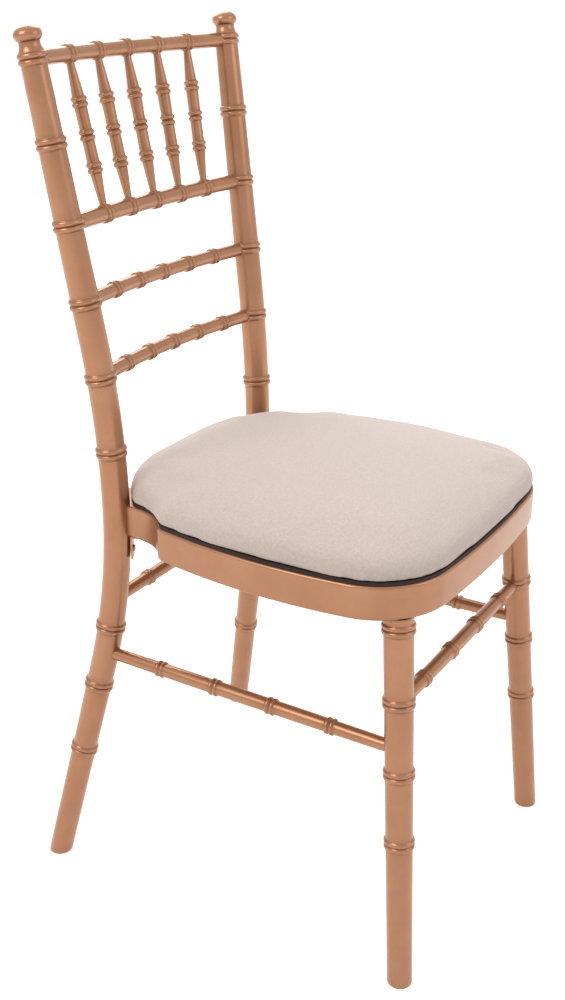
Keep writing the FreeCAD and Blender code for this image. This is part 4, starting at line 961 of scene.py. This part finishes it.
def pad_outline(step=3.5 * MM):
    """Left half of the pad: the frame's curves, a round at the post, the rear round and the rear edge.

    The rear round's middle (x, y) has y = edge - R, and x such that the round clears the post by the gap.
    """
    clear = REAR_ROUND + POST_AT_SEAT + POST_CLEAR
    middle_y = REAR_EDGE - REAR_ROUND
    rear_round = np.array([POST_X - math.sqrt(clear ** 2 - (POST_Y - middle_y) ** 2), middle_y])
    neck_curve = NECK_CURVE + PAD_INSET
    round_middle = meeting(rear_round, REAR_ROUND - PAD_ROUND, neck_middle, neck_curve + PAD_ROUND,
                           np.array([POST_X, POST_Y]))
    round_start = toward(neck_middle, round_middle, neck_curve)
    round_end = toward(rear_round, round_middle, REAR_ROUND)
    rim = outer_outline(PAD_INSET)
    bend = sum(OUTLINE_COUNTS[:4]) - 4
    edge_end = rear_round + [0.0, REAR_ROUND]
    line = np.concatenate([
        rim[:bend],
        arc_points(neck_middle, rim[bend], round_start, 20),
        arc_points(round_middle, round_start, round_end, 12)[1:],
        arc_points(rear_round, round_end, edge_end, 24)[1:],
        np.array([[0.0, REAR_EDGE]]),
    ])
    gaps = np.linalg.norm(np.diff(line, axis=0), axis=1)
    run = np.concatenate([[0.0], np.cumsum(gaps)])
    even = np.linspace(0, run[-1], int(run[-1] / step) + 1)
    return np.stack([np.interp(even, run, line[:, axis]) for axis in (0, 1)], axis=-1)


pad_half = pad_outline()
pad_line = np.concatenate([pad_half, pad_half[-2:0:-1] * [-1.0, 1.0]])
print("pad outline:", len(pad_line), "points, rear edge at", round(float(pad_line[:, 1].max()) / MM, 1), "mm")

# %% A first, slack cushion
CUSHION_MIDDLE = np.array([0.0, -0.030])
SLACK_RISE, SLACK_SHARE, TUCK, TUCK_HEIGHT = 41.2 * MM, 1.014, 0.004, 5.0 * MM
FILL_FROM, FILL_TO = 0.10, 0.62
CROWN_UP, CROWN_OUT = 3.8, 2.09


def filled_outline(outline, middle):
    """The outline with its hollows bridged: each point slides out along its ray to the tightest convex line.

    For a ray with direction d and outward unit normals n of the chords that hold every point, the distance is
    the least (n . p) / (n . d).
    """
    reach = outline - middle
    turns = np.linspace(0, 2 * math.pi, 721)[:-1]
    normals = np.stack([np.cos(turns), np.sin(turns)], axis=-1)
    support = (normals @ reach.T).max(axis=1)
    length = np.linalg.norm(reach, axis=1, keepdims=True)
    rays = reach / length
    facing = normals @ rays.T
    limit = np.where(facing > 0.05, support[:, None] / np.maximum(facing, 0.05), np.inf)
    return middle + rays * limit.min(axis=0)[:, None]


def cushion_grid():
    """Rings of the pad's outline drawn in towards its middle by a share that depends on the height h.

    The share is s = (1 - (h / H)^3.8)^(1 / 2.09), less a small tuck near the bottom. The hollow at each post
    fills out with the height, as stuffing bridges it.
    """
    rings = []
    filled = filled_outline(pad_line, CUSHION_MIDDLE)
    for u in np.linspace(0, 0.985, 18):
        lift = math.sin(u * math.pi / 2)
        height = SLACK_RISE * lift
        share = SLACK_SHARE * (1 - lift ** CROWN_UP) ** (1 / CROWN_OUT)
        share -= TUCK * max(0.0, 1 - height / TUCK_HEIGHT)
        fill = min(1.0, max(0.0, (lift - FILL_FROM) / (FILL_TO - FILL_FROM)))
        fill = fill * fill * (3 - 2 * fill)
        plan = CUSHION_MIDDLE + (pad_line + (filled - pad_line) * fill - CUSHION_MIDDLE) * share
        rings.append(np.column_stack([plan, np.full(len(plan), PAD_BASE + height)]))
    return np.stack(rings)


cushion = closed_skin("cushion", cushion_grid(), pad_fabric)
print("slack cushion:", len(cushion.data.polygons), "faces")

# %% Stuff the cushion
STUFFING_CAP = 2.5 * MM
PRESSURE = 4.0
VOXEL = 5.0 * MM


def applied(piece):
    """Keep what a piece's modifiers make as its own mesh and drop the modifiers."""
    graph = bpy.context.evaluated_depsgraph_get()
    baked = bpy.data.meshes.new_from_object(piece.evaluated_get(graph))
    piece.modifiers.clear()
    piece.data = baked
    return piece


def points_of(mesh):
    flat = np.empty(len(mesh.vertices) * 3)
    mesh.vertices.foreach_get("co", flat)
    return flat.reshape(-1, 3)


remesh = cushion.modifiers.new("even_cells", "REMESH")
remesh.mode = "VOXEL"
remesh.voxel_size = VOXEL
applied(cushion)
slack = points_of(cushion.data)
pinned = cushion.vertex_groups.new(name="on_board")
on_board = np.flatnonzero(slack[:, 2] < PAD_BASE + 1.2 * MM)
pinned.add(on_board.tolist(), 1.0, "REPLACE")

cloth = cushion.modifiers.new("stuffing", "CLOTH")
cloth.settings.use_pressure = True
cloth.settings.uniform_pressure_force = PRESSURE
cloth.settings.effector_weights.gravity = 0.0
cloth.settings.quality = 6
cloth.settings.vertex_group_mass = "on_board"
for step in range(1, 21):
    bpy.context.scene.frame_set(step)
applied(cushion)
bpy.context.scene.frame_set(1)
stuffed = points_of(cushion.data)
moved = stuffed - slack
reach = np.linalg.norm(moved, axis=1, keepdims=True)
stuffed = slack + moved * np.minimum(1.0, STUFFING_CAP / np.maximum(reach, 1e-9))
print("stuffing moved points by up to", round(float(reach.max()) / MM, 1), "mm before the cap")

# %% Finish the cushion
stuffed[:, 2] = np.maximum(stuffed[:, 2], PAD_BASE + 0.05 * MM)
cushion.data.vertices.foreach_set("co", stuffed.reshape(-1))
cushion.data.update()
smooth = cushion.modifiers.new("even_out", "SMOOTH")
smooth.factor = 0.5
smooth.iterations = 3
finer = cushion.modifiers.new("finer", "SUBSURF")
finer.levels = finer.render_levels = 1
applied(cushion)
cushion.data.shade_smooth()
if not cushion.data.materials:
    cushion.data.materials.append(pad_fabric)
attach(cushion, "pad")
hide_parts("seat_cushion")
finished = points_of(cushion.data)
print("cushion:", len(cushion.data.polygons), "faces, top at", round(float(finished[:, 2].max()) / MM, 1), "mm")

# %% [markdown]
# ## The hidden parts
# The CAD nodes that keep their own shape get finishes too: bare plywood under the pad, beech dowels, zinc screws,
# black board and black hook-and-loop tape. Seen from below, the plywood shows.

# %% Wood
def plain_wood(name, pale, dark, rings):
    """Long grain: a noise stretched along X mixes two tones and raises the surface slightly."""
    material, tree, shader = new_material(name)
    place = tree.nodes.new("ShaderNodeTexCoord")
    stretch = add_node(tree, "ShaderNodeMapping")
    stretch.inputs["Scale"].default_value = (0.08, 1.0, 1.0)
    tree.links.new(place.outputs["Object"], stretch.inputs["Vector"])
    grain = add_node(tree, "ShaderNodeTexNoise", Scale=rings, Detail=6.0, Roughness=0.6, Distortion=0.3)
    tree.links.new(stretch.outputs["Vector"], grain.inputs["Vector"])
    tree.links.new(blend(tree, grain.outputs["Fac"], dark, pale), shader.inputs["Base Color"])
    relief(tree, shader, grain.outputs["Fac"], 0.2, 0.0004)
    shader.inputs["Roughness"].default_value = 0.62
    return material


plywood = plain_wood("plywood", (0.66, 0.50, 0.33, 1), (0.46, 0.31, 0.18, 1), 160.0)
beech = plain_wood("dowel_wood", (0.68, 0.50, 0.34, 1), (0.52, 0.35, 0.21, 1), 240.0)
print("woods:", plywood.name, beech.name)

# %% Zinc, board and tape
def grained(name, colour, other, scale, roughness, metallic=0.0, strength=0.3):
    """A fine even grain that mixes two tones and gives a slight relief."""
    material, tree, shader = new_material(name)
    speck = add_node(tree, "ShaderNodeTexNoise", Scale=scale, Detail=4.0, Roughness=0.7)
    object_textures(tree, speck)
    tree.links.new(blend(tree, speck.outputs["Fac"], colour, other), shader.inputs["Base Color"])
    relief(tree, shader, speck.outputs["Fac"], strength, 0.0003)
    shader.inputs["Roughness"].default_value = roughness
    shader.inputs["Metallic"].default_value = metallic
    return material


zinc = grained("zinc_steel", (0.55, 0.56, 0.58, 1), (0.68, 0.68, 0.66, 1), 700.0, 0.35, 1.0, 0.1)
board_black = grained("board_black", (0.020, 0.009, 0.006, 1), (0.036, 0.018, 0.013, 1), 500.0, 0.85)
tape = grained("strip_fabric", (0.012, 0.012, 0.013, 1), (0.05, 0.05, 0.052, 1), 1500.0, 0.95, 0.0, 0.9)

FINISHES = {
    "seat_rear_rail": frame_paint, "bracket_left": frame_paint, "bracket_right": frame_paint, "seat_panel": plywood,
    "seat_dowels": beech, "panel_screws": zinc, "bracket_screws": frame_paint, "hook_strips": tape, "loop_strips": tape,
    "pad_board": board_black,
}
for name, finish in FINISHES.items():
    for slot in nodes[name].material_slots:
        slot.material = finish
print("finished", len(FINISHES), "CAD nodes")
